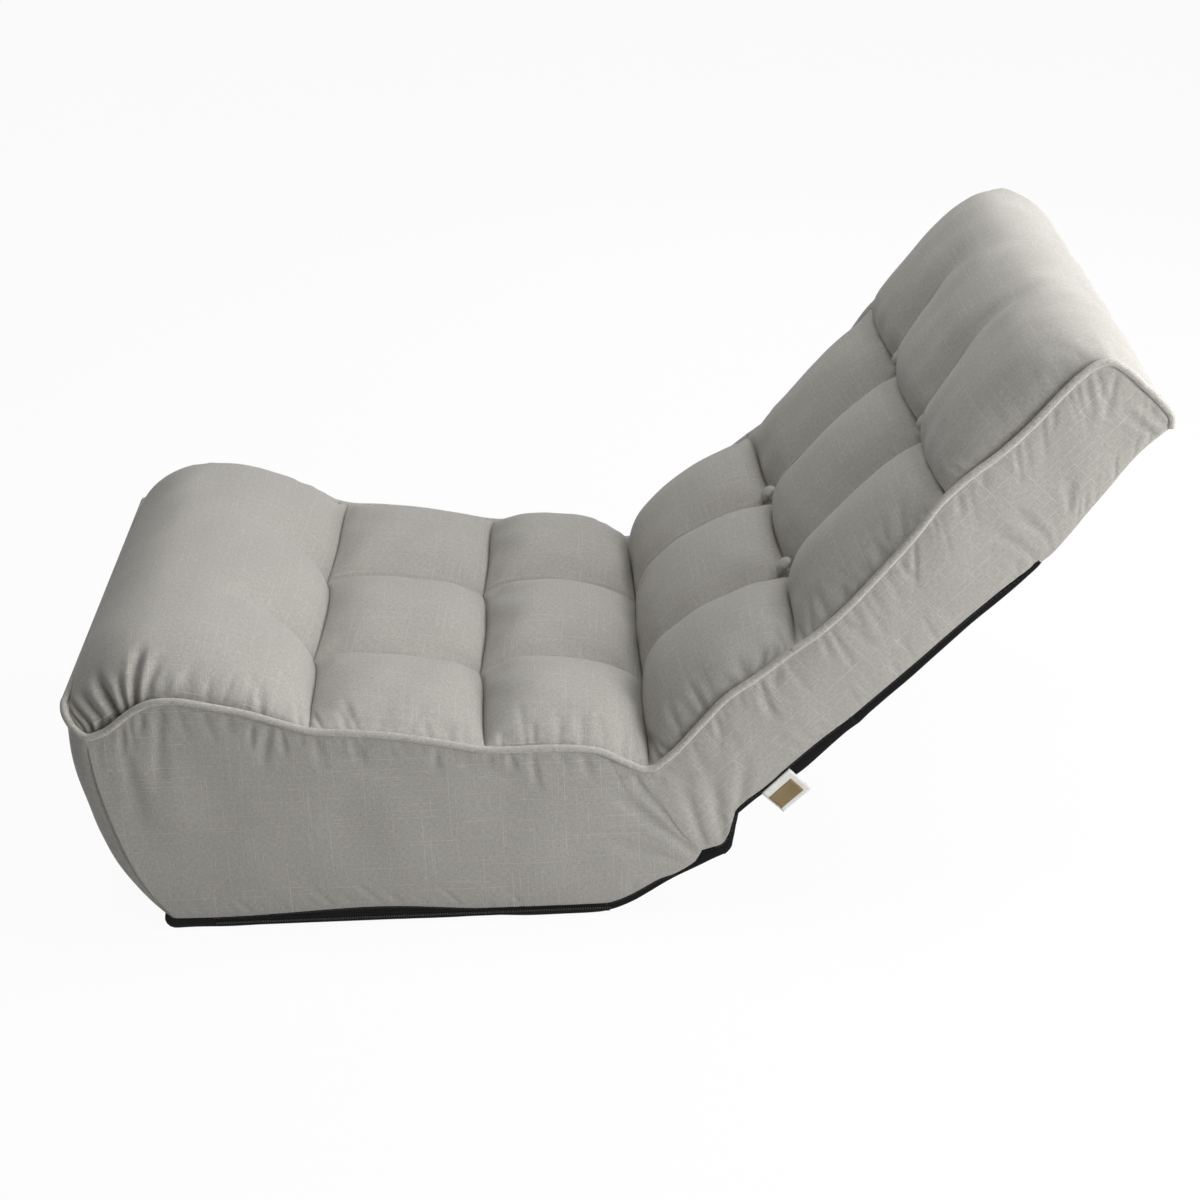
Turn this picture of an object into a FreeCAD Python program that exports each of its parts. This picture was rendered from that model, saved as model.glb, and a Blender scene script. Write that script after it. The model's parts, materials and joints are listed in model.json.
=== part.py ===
import FreeCAD, Part
import math
import os
from types import SimpleNamespace

import Sketcher

# Reclining floor chair: a tufted seat and back on bent steel tubes, with ratchet hinges at the
# seat and at the headrest.
# Frame: +X is the sitter's left, +Y runs back, +Z is up. The origin is the middle of the flat
# base, on the floor. Lengths are in millimetres and angles in degrees.

SIZES = (
    ("foam_width", 528, "foam between the side panels"),
    ("panel_cloth", 4, "quilted cloth of the side and front panels"),
    ("lining_cloth", 3, "non-woven cloth under the seat and behind the back"),
    ("piping_diameter", 7, "corded edge round the tufted top"),
    ("column_seam_offset", 90, "lengthwise seams from the middle"),
    ("soft_gap", 0.3, "gap between soft pieces that move apart"),
    ("seat_flat_length", 433, "flat base, front to rear"),
    ("hinge_setback", 95, "seat hinge axis behind the flat base"),
    ("hinge_height", 95, "seat hinge axis above the floor"),
    ("tail_length", 117, "kicked-up tail behind the flat base"),
    ("tail_rise", 63, "tail's end above the floor"),
    ("front_overhang", 81, "front edge ahead of the flat base"),
    ("front_height", 240, "top of the front panel"),
    ("front_bulge", 18, "front panel's bulge off its chord"),
    ("front_corner_radius", 18, "rounding between front and sides"),
    ("front_seam_setback", 22, "side seam behind the front face"),
    ("lining_flange", 17, "lining's height up the sides"),
    ("core_height", 130, "top of the seat's foam core"),
    ("roll_length", 234, "front edge to the seam behind the front roll"),
    ("roll_seam_height", 220, "that seam above the floor"),
    ("roll_crest_setback", 107, "roll's crest behind the front edge"),
    ("roll_edge_crest", 256, "roll's height at the side piping"),
    ("roll_shoulder_crest", 279, "roll's height just inside the side piping"),
    ("roll_seam_crest", 292, "roll's height over a column seam"),
    ("roll_crest", 300, "roll's height over a column"),
    ("front_row_length", 167, "first tufted seat row"),
    ("row_seam_height", 192, "seam between the seat rows, above the floor"),
    ("front_row_edge_rise", 5, "first row's crown at the piping"),
    ("front_row_seam_rise", 10, "first row's crown at a column seam"),
    ("front_row_rise", 27, "first row's crown over a column"),
    ("rear_row_edge_rise", 11, "second row's crown at the piping"),
    ("rear_row_seam_rise", 15, "second row's crown at a column seam"),
    ("rear_row_rise", 35, "second row's crown over a column"),
    ("crease_forward", 52.5, "crease ahead of the seat hinge axis"),
    ("crease_rise", 68, "crease above the seat hinge axis"),
    ("crease_share_seat", 11.3, "degrees of the crease that give on the seat's side"),
    ("crease_share_back", 35.2, "degrees of the crease that give on the back's side"),
    ("back_angle", 45.1, "line between the hinges, from level"),
    ("back_length", 428.4, "seat hinge to head hinge"),
    ("back_core_depth", 36, "front of the back's foam core, from the hinge line"),
    ("back_start_distance", 34, "lower end of the back's rear face, along the hinge line"),
    ("back_rear_low_depth", 14.2, "rear face behind the hinge line, at its lower end"),
    ("back_rear_high_depth", 30.8, "rear face behind the hinge line, at the head hinge"),
    ("lumbar_seam_distance", 187.5, "seam over the lumbar row, along the hinge line"),
    ("lumbar_seam_height", 72.5, "that seam in front of the hinge line"),
    ("neck_seam_distance", 396.8, "seam under the head roll, along the hinge line"),
    ("neck_seam_height", 82.1, "that seam in front of the hinge line"),
    ("lumbar_edge_rise", 6, "lumbar row's crown at the piping"),
    ("lumbar_seam_rise", 14, "lumbar row's crown at a column seam"),
    ("lumbar_rise", 38, "lumbar row's crown over a column"),
    ("upper_edge_rise", -8, "upper row's dip at the piping"),
    ("upper_seam_rise", 10, "upper row's crown at a column seam"),
    ("upper_rise", 36, "upper row's crown over a column"),
    ("neck_share_back", 20, "degrees of the neck crease that give on the back's side"),
    ("neck_share_head", 34, "degrees of the neck crease that give on the head's side"),
    ("head_angle", 50.2, "head's rear face, from level"),
    ("head_length", 160, "head hinge to the head's top seam"),
    ("head_cap_height", 16, "roundness of the head's top"),
    ("head_start_distance", 37, "lower end of the head's rear face, along the head"),
    ("head_rear_low_depth", 23.3, "head's rear face behind its hinge, at the lower end"),
    ("head_end_drop", 4, "head's rear top edge below its front top edge"),
    ("head_rear_high_depth", 30, "head's rear face behind its hinge, at the top"),
    ("head_top_height", 66, "head's top seam in front of its hinge"),
    ("head_edge_rise", -3, "head roll's dip at the piping"),
    ("head_seam_rise", 22, "head roll's crown at a column seam"),
    ("head_rise", 30, "head roll's crown over a column"),
    ("head_travel", 50, "degrees that the head tilts forward from rest"),
    ("tube_diameter", 20, "frame tube"),
    ("tube_wall", 1.2, "frame tube's wall"),
    ("cross_diameter", 16, "cross tube"),
    ("tube_inset", 29, "side tubes' centres inside the foam's sides"),
    ("tube_clearance", 0.3, "foam channel around a tube"),
    ("seat_tube_height", 24, "seat tubes' centre above the floor"),
    ("seat_tube_setback", 16, "front tube behind the flat base's front end"),
    ("seat_kick_inset", 17, "tube's bend ahead of the flat base's rear end"),
    ("frame_bend_radius", 55, "bend radius of the frame tubes"),
    ("middle_cross_offset", -20, "middle cross tube, from the origin"),
    ("rear_cross_offset", 170, "rear cross tube, from the origin"),
    ("back_cross_low_distance", 90, "lower back cross tube, along the hinge line"),
    ("back_cross_high_distance", 320, "upper back cross tube, along the hinge line"),
    ("head_tube_lean", 8, "degrees that the head tubes lean off its rear face"),
    ("head_tube_length", 122, "head hinge to the head tube's top"),
    ("head_bend_radius", 40, "bend radius of the head tube"),
    ("arm_length", 45, "hinge axis to the tube's end"),
    ("gear_thickness", 4, "toothed hinge plate"),
    ("gear_root_radius", 18.4, "bottom of the teeth"),
    ("gear_tip_radius", 21, "top of the teeth"),
    ("gear_arm_width", 18, "toothed plate's arm"),
    ("back_tooth_pitch", 7.5, "degrees from tooth to tooth, seat hinge"),
    ("head_tooth_pitch", 10, "degrees from tooth to tooth, head hinge"),
    ("back_teeth", 14, "teeth of the seat hinge"),
    ("head_teeth", 8, "teeth of the head hinge"),
    ("back_teeth_past", 7, "teeth past the pawl at rest, seat hinge"),
    ("head_teeth_past", 2, "teeth past the pawl at rest, head hinge"),
    ("cheek_thickness", 2.5, "hinge cheek plate"),
    ("cheek_radius", 24, "hinge cheek's round end"),
    ("cheek_gap", 0.3, "cheek to toothed plate"),
    ("cheek_arm_low_width", 20, "cheek arm's reach past the pawl's pin"),
    ("cheek_arm_high_width", 11, "cheek arm's reach on its other side"),
    ("web_thickness", 4, "web that joins the two cheeks"),
    ("rivet_diameter", 10, "hinge pivot rivet"),
    ("rivet_head_diameter", 15, "head of the pivot rivet"),
    ("rivet_head_height", 2, "height of the rivet's head"),
    ("pin_diameter", 4, "pawl pin"),
    ("running_fit", 0.05, "radial clearance on pivots and pins"),
    ("pawl_distance", 29.5, "pawl pin from the hinge axis, along the arm"),
    ("pawl_offset", 13, "pawl pin off the arm's middle"),
    ("pawl_thickness", 3.6, "pawl plate"),
    ("pawl_eye_radius", 4.5, "radius of the pawl's eye"),
    ("pawl_back_height", 6.5, "pawl's back above the tooth tips"),
    ("pawl_throat_height", 2, "pawl's throat above the tooth tips"),
    ("nose_height", 2.5, "nose's locking face above the tooth tips"),
    ("nose_clearance", 0.6, "nose above the tooth gap's bottom"),
    ("nose_angle", 8, "degrees from the arm to the pawl's nose"),
    ("nose_slack", 2.4, "degrees between the nose and the tooth that it locks"),
    ("nose_span", 7.3, "degrees that the nose fills at its root"),
    ("throat_angle", 18, "degrees from the nose to the pawl's throat"),
    ("shoulder_angle", 7, "degrees from the nose to the pawl's shoulder"),
    ("spring_thickness", 0.7, "leaf spring"),
    ("spring_gap", 0.4, "leaf spring above the pawl's shoulder"),
    ("hinge_tunnel_radius", 27, "radius left free of foam around a hinge"),
    ("button_diameter", 20, "covered tuft button"),
    ("button_height", 8, "button's dome and rim"),
    ("button_sink_offset", 1, "button's back face in front of its seam"),
    ("button_clearance", 1, "dimple around a button"),
    ("tag_width", 38, "blank side tag, along its seam"),
    ("tag_height", 28, "blank side tag, out from its seam"),
    ("tag_seam_height", 6, "blank side tag, sewn to the side panel"),
    ("tag_thickness", 1, "blank side tag"),
    ("tag_distance", 85, "tag's middle along the hinge line"),
    ("zip_width", 8, "zip tape that shows at the lining's edge"),
    ("zip_thickness", 1.4, "zip tape and teeth"),
)

# Half spaces and cutters reach past the whole chair
REACH = 900.0

# The sheet's expression for a side tube's distance from the middle
HALF_SPACING = "Sizes.foam_width / 2 - Sizes.tube_inset"

document = FreeCAD.newDocument("floor_chair")
sheet = document.addObject("Spreadsheet::Sheet", "Sizes")
for row, (alias, value, meaning) in enumerate(SIZES, start=1):
    sheet.set(f"A{row}", meaning)
    sheet.set(f"B{row}", str(value))
    sheet.setAlias(f"B{row}", alias)
document.recompute()

dim = SimpleNamespace(**{alias: float(sheet.get(alias)) for alias, _, _ in SIZES})
parts = {}


# Plane geometry: a point is (y, z) in the side view of its frame

def toward(angle, distance=1.0, start=(0.0, 0.0)):
    """The point at a distance from start, at an angle from +Y towards +Z."""
    turn = math.radians(angle)
    return start[0] + distance * math.cos(turn), start[1] + distance * math.sin(turn)


def angle_to(point, start=(0.0, 0.0)):
    """The angle of the line from start to point, from 0 to 360."""
    return math.degrees(math.atan2(point[1] - start[1], point[0] - start[0])) % 360.0


def between(a, b, share):
    """The point at a share of the way from a to b."""
    return a[0] + (b[0] - a[0]) * share, a[1] + (b[1] - a[1]) * share


def at_height(a, b, height):
    """Where the line from a to b reaches a height."""
    return between(a, b, (height - a[1]) / (b[1] - a[1]))


def at_along(a, b, along):
    """Where the line from a to b reaches a distance along."""
    return between(a, b, (along - a[0]) / (b[0] - a[0]))


def shifted(point, along=0.0, up=0.0):
    """A point moved by two lengths."""
    return point[0] + along, point[1] + up


def crown(a, b, rise):
    """An arc piece from a to b whose middle stands off the chord, to the left of the way."""
    middle = between(a, b, 0.5)
    return toward(angle_to(b, a) + 90.0, rise, middle), b


def path_edges(x, start, pieces):
    """Edges at x through pieces: a point for a line, or a (middle, end) pair for an arc."""
    edges = []
    here = start
    for piece in pieces:
        is_arc = isinstance(piece[0], tuple)
        there = piece[1] if is_arc else piece
        first = FreeCAD.Vector(x, *here)
        last = FreeCAD.Vector(x, *there)
        if is_arc:
            edges.append(Part.Arc(first, FreeCAD.Vector(x, *piece[0]), last).toShape())
        elif first.distanceToPoint(last) > 1e-6:
            edges.append(Part.makeLine(first, last))
        here = there
    return edges


def outline(x, start, *pieces):
    """A closed wire in the plane at x."""
    return Part.Wire(path_edges(x, start, pieces + (start,)))


def slab(low_x, high_x, start, *pieces):
    """An outline extruded from low_x to high_x."""
    face = Part.Face(outline(low_x, start, *pieces))
    return face.extrude(FreeCAD.Vector(high_x - low_x, 0, 0))


def mirrored(shape):
    """The same shape on the other side of the chair."""
    return shape.mirror(FreeCAD.Vector(0, 0, 0), FreeCAD.Vector(1, 0, 0))


def round_bar(centre, radius, half_width=REACH):
    """A cylinder across the chair, centred on a point of the side view."""
    start = FreeCAD.Vector(-half_width, *centre)
    return Part.makeCylinder(radius, 2 * half_width, start, FreeCAD.Vector(1, 0, 0))


# The frames that the pieces are drawn in

AXIS_X = FreeCAD.Vector(1, 0, 0)


def frame_at(point, angle, x=0.0):
    """A placement whose Y axis points at an angle in the side view."""
    return FreeCAD.Placement(FreeCAD.Vector(x, *point), FreeCAD.Rotation(AXIS_X, angle))


def seen_from(place, point):
    """A point of the chair's frame in a turned frame."""
    inside = place.inverse().multVec(FreeCAD.Vector(0, *point))
    return inside.y, inside.z


def seen_outside(place, point):
    """A point of a turned frame in the chair's frame."""
    outside = place.multVec(FreeCAD.Vector(0, *point))
    return outside.y, outside.z


half_foam = dim.foam_width / 2
half_width = half_foam + dim.panel_cloth
half_flat = dim.seat_flat_length / 2
piping_radius = dim.piping_diameter / 2
column_middle = (half_foam + dim.column_seam_offset) / 2

hinge = (half_flat + dim.hinge_setback, dim.hinge_height)
crease = (hinge[0] - dim.crease_forward, hinge[1] + dim.crease_rise)
front = (-half_flat - dim.front_overhang, dim.front_height)
foot = (-half_flat, 0.0)
roll_seam = (front[0] + dim.roll_length, dim.roll_seam_height)
row_seam = (roll_seam[0] + dim.front_row_length, dim.row_seam_height)
tail = (half_flat + dim.tail_length, dim.tail_rise)

back_frame = frame_at(hinge, dim.back_angle)
head_hinge = (dim.back_length, 0.0)
head_frame = frame_at(seen_outside(back_frame, head_hinge), dim.head_angle)
seat_frame = FreeCAD.Placement()

back_crease = seen_from(back_frame, crease)
lumbar_seam = (dim.lumbar_seam_distance, dim.lumbar_seam_height)
neck_seam = (dim.neck_seam_distance, dim.neck_seam_height)
back_foot = (dim.back_start_distance, -dim.back_rear_low_depth)
back_end = (dim.back_length, -dim.back_rear_high_depth)
head_neck = seen_from(head_frame, seen_outside(back_frame, neck_seam))
head_top = (dim.head_length, dim.head_top_height)
head_foot = (dim.head_start_distance, -dim.head_rear_low_depth)
head_end = (dim.head_length - dim.head_end_drop, -dim.head_rear_high_depth)

seat_limit = angle_to(crease, hinge) + dim.crease_share_seat
back_limit = angle_to(back_crease) - dim.crease_share_back
neck_angle = angle_to(neck_seam, head_hinge)
neck_limit = neck_angle + dim.neck_share_back
head_limit = angle_to(head_neck) - dim.neck_share_head


def add(name, shape, place=seat_frame):
    """Adds a piece with a shape of its own, drawn in the frame at place."""
    piece = document.addObject("Part::Feature", name)
    piece.Label = name
    piece.Shape = shape
    piece.Placement = place
    parts[name] = piece
    return piece


def one_solid(shape):
    """A boolean's result without its wrapping compound."""
    solids = shape.Solids
    return solids[0] if len(solids) == 1 else Part.makeCompound(solids)


def side_of(start, angle):
    """The half space on the left of a line through start, across the whole chair."""
    far = toward(angle, REACH, start)
    near = toward(angle, -REACH, start)
    lift = shifted(toward(angle + 90.0, REACH), 0, 0)
    return slab(-REACH, REACH, near, far, shifted(far, *lift), shifted(near, *lift))


def in_seat_frame(shape, place):
    """A copy of a piece drawn in a turned frame, set in the seat's frame."""
    copy = shape.copy()
    copy.Placement = place * copy.Placement
    return copy


# Zones that belong to the seat, the back and the head, split by planes through the hinges

def seat_zone():
    """All that moves with the seat."""
    upper = side_of(hinge, seat_limit)
    lower = side_of(hinge, angle_to(tail, hinge) + 180.0)
    return upper.common(lower)


def back_zone():
    """All that moves with the back, in the back's frame."""
    low = side_of((0, 0), back_limit + 180.0)
    high = side_of(head_hinge, neck_limit)
    rear = side_of((0, 0), angle_to(back_foot))
    top = side_of(head_hinge, 90.0)
    return low.common(high).common(rear).common(top.fuse(side_of(head_hinge, 180.0)))


def head_zone():
    """All that moves with the head, in the head's frame."""
    low = side_of((0, 0), head_limit + 180.0)
    return low.common(side_of((0, 0), angle_to(head_foot)))


# Soft forms

def lofted(sections):
    """A smooth solid through closed outlines, each given as (x, outline pieces)."""
    wires = [outline(x, *pieces) for x, pieces in sections]
    return Part.makeLoft(wires, True, False)


def tufted_row(low_a, seam_a, seam_b, low_b, edge_rise, seam_rise, rise):
    """A row of three tufted columns between two cross seams, one loft to a column."""
    stations = (
        (-half_foam, edge_rise),
        (-column_middle, rise),
        (-dim.column_seam_offset, seam_rise),
        (0.0, rise),
        (dim.column_seam_offset, seam_rise),
        (column_middle, rise),
        (half_foam, edge_rise),
    )
    columns = []
    for first in (0, 2, 4):
        sections = [
            (x, (low_a, seam_a, crown(seam_a, seam_b, lift), low_b))
            for x, lift in reversed(stations[first:first + 3])
        ]
        columns.append(lofted(sections))
    return columns[0].multiFuse(columns[1:])


def piping_run(x, start, *pieces):
    """A round cord through line and arc pieces at x, with a ball at each corner."""
    solids = []
    edges = path_edges(x, start, pieces)
    for index, edge in enumerate(edges):
        first = edge.valueAt(edge.FirstParameter)
        tangent = edge.tangentAt(edge.FirstParameter)
        profile = Part.Wire(Part.makeCircle(piping_radius, first, tangent))
        solids.append(Part.Wire(edge).makePipeShell([profile], True, False))
        if index > 0:
            solids.append(Part.makeSphere(piping_radius, first))
    return one_solid(solids[0].multiFuse(solids[1:]))


def lifted_circle(a, middle, b, lift):
    """The arc's circle as (centre, radius), moved to the left of the way from a to b."""
    circle = Part.Arc(*(FreeCAD.Vector(0, *point) for point in (a, middle, b))).toShape().Curve
    centre = (circle.Center.y, circle.Center.z)
    turn = (angle_to(centre, a) - angle_to(b, a)) % 360.0
    centre_on_left = turn < 180.0
    return centre, circle.Radius - lift if centre_on_left else circle.Radius + lift


def on_circle(circle, point):
    """The circle's point in the direction of another point."""
    centre, radius = circle
    return toward(angle_to(point, centre), radius, centre)


def where_circles_cross(first, second, near):
    """The crossing of two circles that lies nearer to a point."""
    (centre, radius), (other, other_radius) = first, second
    apart = math.dist(centre, other)
    along = (apart**2 + radius**2 - other_radius**2) / (2 * apart)
    aside = math.sqrt(max(radius**2 - along**2, 0.0))
    heading = angle_to(other, centre)
    foot = toward(heading, along, centre)
    crossings = [toward(heading + turn, aside, foot) for turn in (90.0, -90.0)]
    return min(crossings, key=lambda crossing: math.dist(crossing, near))


# The seat's outlines

base_slope = (tail[1] / (tail[0] - half_flat))
roll_top = (
    (front[0] + dim.roll_crest_setback, dim.roll_edge_crest),
    roll_seam,
)
front_row_top = crown(roll_seam, row_seam, dim.front_row_edge_rise)
rear_row_top = crown(row_seam, crease, dim.rear_row_edge_rise)
side_front = shifted(front, dim.front_seam_setback)
crease_low = at_height(hinge, crease, dim.core_height)


def front_block(inset, top):
    """The seat's front with rounded corners, inset from its outer faces."""
    side = half_width - inset
    low = shifted(foot, inset)
    high = shifted(front, inset)
    solid = slab(
        -side,
        side,
        low,
        crown(high, low, -dim.front_bulge)[:1] + (high,),
        (high[0], top),
        (REACH, top),
        (REACH, low[1]),
    )
    bends = [edge for edge in solid.Edges if isinstance(edge.Curve, Part.Circle)]
    return solid.makeFillet(dim.front_corner_radius - inset, bends)


def above_base(lift):
    """Everything over the base's underside, raised by a length."""
    return slab(
        -REACH,
        REACH,
        (-REACH, lift),
        (half_flat, lift),
        (half_flat + REACH, lift + REACH * base_slope),
        (half_flat + REACH, 2 * REACH),
        (-REACH, 2 * REACH),
    )


def front_band():
    """The strip that the front panel takes from the front block."""
    low = foot
    high = front
    setback = dim.front_seam_setback
    front_arc = crown(high, low, -dim.front_bulge)
    rear_low = shifted(low, setback)
    rear_high = shifted(high, setback)
    rear_arc = crown(rear_low, rear_high, dim.front_bulge)
    forward = shifted(low, -2 * dim.front_overhang)
    return slab(
        -REACH,
        REACH,
        forward,
        rear_low,
        rear_arc,
        shifted(high, -dim.front_overhang),
    )


zone_seat = seat_zone()
zone_back = back_zone()
zone_head = head_zone()
seat_tunnel = round_bar(hinge, dim.hinge_tunnel_radius)
inner_block = front_block(dim.panel_cloth, 2 * dim.front_height)


# Steel frame

half_spacing = half_foam - dim.tube_inset
tube_radius = dim.tube_diameter / 2
seat_tube_start = -half_flat + dim.seat_tube_setback
kick = (half_flat - dim.seat_kick_inset, dim.seat_tube_height)
kick_angle = angle_to(hinge, kick)
seat_arm_angle = kick_angle + 180.0


def bent_tube(points, radius, bend):
    """A solid bar along straight runs joined by tangent arcs."""
    edges = []
    here = points[0]
    for before, corner, after in zip(points, points[1:], points[2:]):
        to_corner = (corner - before).normalize()
        from_corner = (after - corner).normalize()
        turn = to_corner.getAngle(from_corner)
        setback = bend * math.tan(turn / 2)
        arc_start = corner - to_corner * setback
        arc_end = corner + from_corner * setback
        inward = (from_corner - to_corner).normalize()
        middle = corner + inward * (bend / math.cos(turn / 2) - bend)
        edges.append(Part.makeLine(here, arc_start))
        edges.append(Part.Arc(arc_start, middle, arc_end).toShape())
        here = arc_end
    edges.append(Part.makeLine(here, points[-1]))
    profile = Part.Wire(Part.makeCircle(radius, points[0], points[1] - points[0]))
    return Part.Wire(edges).makePipeShell([profile], True, False)


def hollow(points, bend):
    """A tube of the frame's diameter and wall."""
    outer = bent_tube(points, tube_radius, bend)
    return outer.cut(bent_tube(points, tube_radius - dim.tube_wall, bend))


def seat_tube_points(end):
    """The seat frame's route, from a distance before one hinge round to the other."""
    arm_end = toward(seat_arm_angle, end, hinge)
    route = (
        (half_spacing, *arm_end),
        (half_spacing, *kick),
        (half_spacing, seat_tube_start, dim.seat_tube_height),
    )
    left = [FreeCAD.Vector(*point) for point in route]
    right = [FreeCAD.Vector(-point.x, point.y, point.z) for point in reversed(left)]
    return left + right


def head_tube_points(end):
    """The head frame's route in the head's frame."""
    start = toward(dim.head_tube_lean, end)
    top = toward(dim.head_tube_lean, dim.head_tube_length)
    left = [FreeCAD.Vector(half_spacing, *start), FreeCAD.Vector(half_spacing, *top)]
    right = [FreeCAD.Vector(-point.x, point.y, point.z) for point in reversed(left)]
    return left + right


channel_radius = tube_radius + dim.tube_clearance
seat_channel = bent_tube(seat_tube_points(1.0), channel_radius, dim.frame_bend_radius)
head_channel = bent_tube(head_tube_points(1.0), channel_radius, dim.head_bend_radius)
add("seat_frame", hollow(seat_tube_points(dim.arm_length), dim.frame_bend_radius))
add("head_frame", hollow(head_tube_points(dim.arm_length), dim.head_bend_radius), head_frame)


def bound(kind, name, **expressions):
    """A Part primitive whose sizes follow the sheet."""
    piece = document.addObject(kind, name)
    for key, expression in expressions.items():
        piece.setExpression(key.replace("__", "."), expression)
    return piece


def boolean(kind, name, base, tool):
    """A Part cut, fuse or common of two objects."""
    piece = document.addObject(kind, name)
    piece.Base = base
    piece.Tool = tool
    return piece


def tube_object(name, radius, length, place, expressions):
    """A hollow straight tube: a cylinder less its bore, both bound to the sheet."""
    outer = bound("Part::Cylinder", f"{name}_outer", Radius=radius, Height=length)
    bore = bound(
        "Part::Cylinder", f"{name}_bore", Radius=f"{radius} - Sizes.tube_wall", Height=length
    )
    for cylinder in (outer, bore):
        cylinder.Placement = place
        for key, expression in expressions.items():
            cylinder.setExpression(key, expression)
    return boolean("Part::Cut", f"{name}_tube", outer, bore)


for side, sign in (("left", 1), ("right", -1)):
    tube = tube_object(
        f"back_side_{side}",
        "Sizes.tube_diameter / 2",
        "Sizes.back_length - 2 * Sizes.arm_length",
        FreeCAD.Placement(FreeCAD.Vector(), FreeCAD.Rotation(AXIS_X, -90)),
        {
            "Placement.Base.x": f"{sign} * ({HALF_SPACING})",
            "Placement.Base.y": "Sizes.arm_length",
        },
    )
    tube.Label = f"back_side_tube_{side}"
    tube.Placement = back_frame
    parts[tube.Label] = tube

CROSS_TUBES = (
    ("seat_middle_cross_tube", "Sizes.middle_cross_offset", "Sizes.seat_tube_height", seat_frame),
    ("seat_rear_cross_tube", "Sizes.rear_cross_offset", "Sizes.seat_tube_height", seat_frame),
    ("back_lower_cross_tube", "Sizes.back_cross_low_distance", "0", back_frame),
    ("back_upper_cross_tube", "Sizes.back_cross_high_distance", "0", back_frame),
)
for name, along, height, place in CROSS_TUBES:
    tube = tube_object(
        name,
        "Sizes.cross_diameter / 2",
        f"2 * ({HALF_SPACING})",
        FreeCAD.Placement(FreeCAD.Vector(), FreeCAD.Rotation(FreeCAD.Vector(0, 1, 0), 90)),
        {
            "Placement.Base.x": f"-({HALF_SPACING})",
            "Placement.Base.y": along,
            "Placement.Base.z": height,
        },
    )
    rails = []
    for side, sign in (("left", 1), ("right", -1)):
        rail = bound(
            "Part::Cylinder",
            f"{name}_cope_{side}",
            Radius="Sizes.tube_diameter / 2",
            Height="4 * Sizes.tube_diameter",
        )
        rail.Placement = FreeCAD.Placement(
            FreeCAD.Vector(), FreeCAD.Rotation(AXIS_X, -90)
        )
        rail.setExpression("Placement.Base.x", f"{sign} * ({HALF_SPACING})")
        rail.setExpression("Placement.Base.y", f"{along} - 2 * Sizes.tube_diameter")
        rail.setExpression("Placement.Base.z", height)
        rails.append(rail)
    both = boolean("Part::Fuse", f"{name}_copes", rails[0], rails[1])
    coped = boolean("Part::Cut", f"{name}_coped", tube, both)
    coped.Label = name
    coped.Placement = place
    parts[name] = coped


# Ratchet hinges

# A saw tooth starts below the root circle, and its steep face and heel are shares of the pitch
TOOTH_ROOT = 1
TOOTH_FACE = 0.07
TOOTH_HEEL = 0.91


def new_sketch(body, name):
    """A sketch on the body's side plane: its x is Y and its y is Z."""
    sketch = body.newObject("Sketcher::SketchObject", name)
    plane = next(part for part in body.Origin.OriginFeatures if part.Role == "YZ_Plane")
    sketch.AttachmentSupport = [(plane, "")]
    sketch.MapMode = "FlatFace"
    return sketch


def bound_circle(sketch, radius, expression, y=0.0, z=0.0):
    """A circle whose radius follows the sheet."""
    centre = FreeCAD.Vector(y, z, 0)
    index = sketch.addGeometry(Part.Circle(centre, FreeCAD.Vector(0, 0, 1), radius), False)
    if y == 0.0 and z == 0.0:
        sketch.addConstraint(Sketcher.Constraint("Coincident", index, 3, -1, 1))
    constraint = sketch.addConstraint(Sketcher.Constraint("Radius", index, radius))
    sketch.setExpression(f"Constraints[{constraint}]", expression)
    return index


def pad(body, sketch, name, expression):
    """A pad of equal depth on both sides of the sketch, bound to the sheet."""
    feature = body.newObject("PartDesign::Pad", name)
    feature.Profile = sketch
    feature.Midplane = True
    feature.setExpression("Length", expression)
    return feature


def polar_triangle(sketch, corners):
    """A triangle whose corners are (radius, radius expression, angle in degrees)."""
    spokes = []
    for radius, expression, angle in corners:
        far = FreeCAD.Vector(*toward(angle, radius), 0)
        spoke = sketch.addGeometry(Part.LineSegment(FreeCAD.Vector(), far), True)
        sketch.addConstraint(Sketcher.Constraint("Coincident", spoke, 1, -1, 1))
        length = sketch.addConstraint(Sketcher.Constraint("Distance", spoke, radius))
        sketch.setExpression(f"Constraints[{length}]", expression)
        sketch.addConstraint(Sketcher.Constraint("Angle", -1, 1, spoke, 1, math.radians(angle)))
        spokes.append((spoke, far))
    for (spoke, far), (next_spoke, next_far) in zip(spokes, spokes[1:] + spokes[:1]):
        side = sketch.addGeometry(Part.LineSegment(far, next_far), False)
        sketch.addConstraint(Sketcher.Constraint("Coincident", side, 1, spoke, 2))
        sketch.addConstraint(Sketcher.Constraint("Coincident", side, 2, next_spoke, 2))


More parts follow.
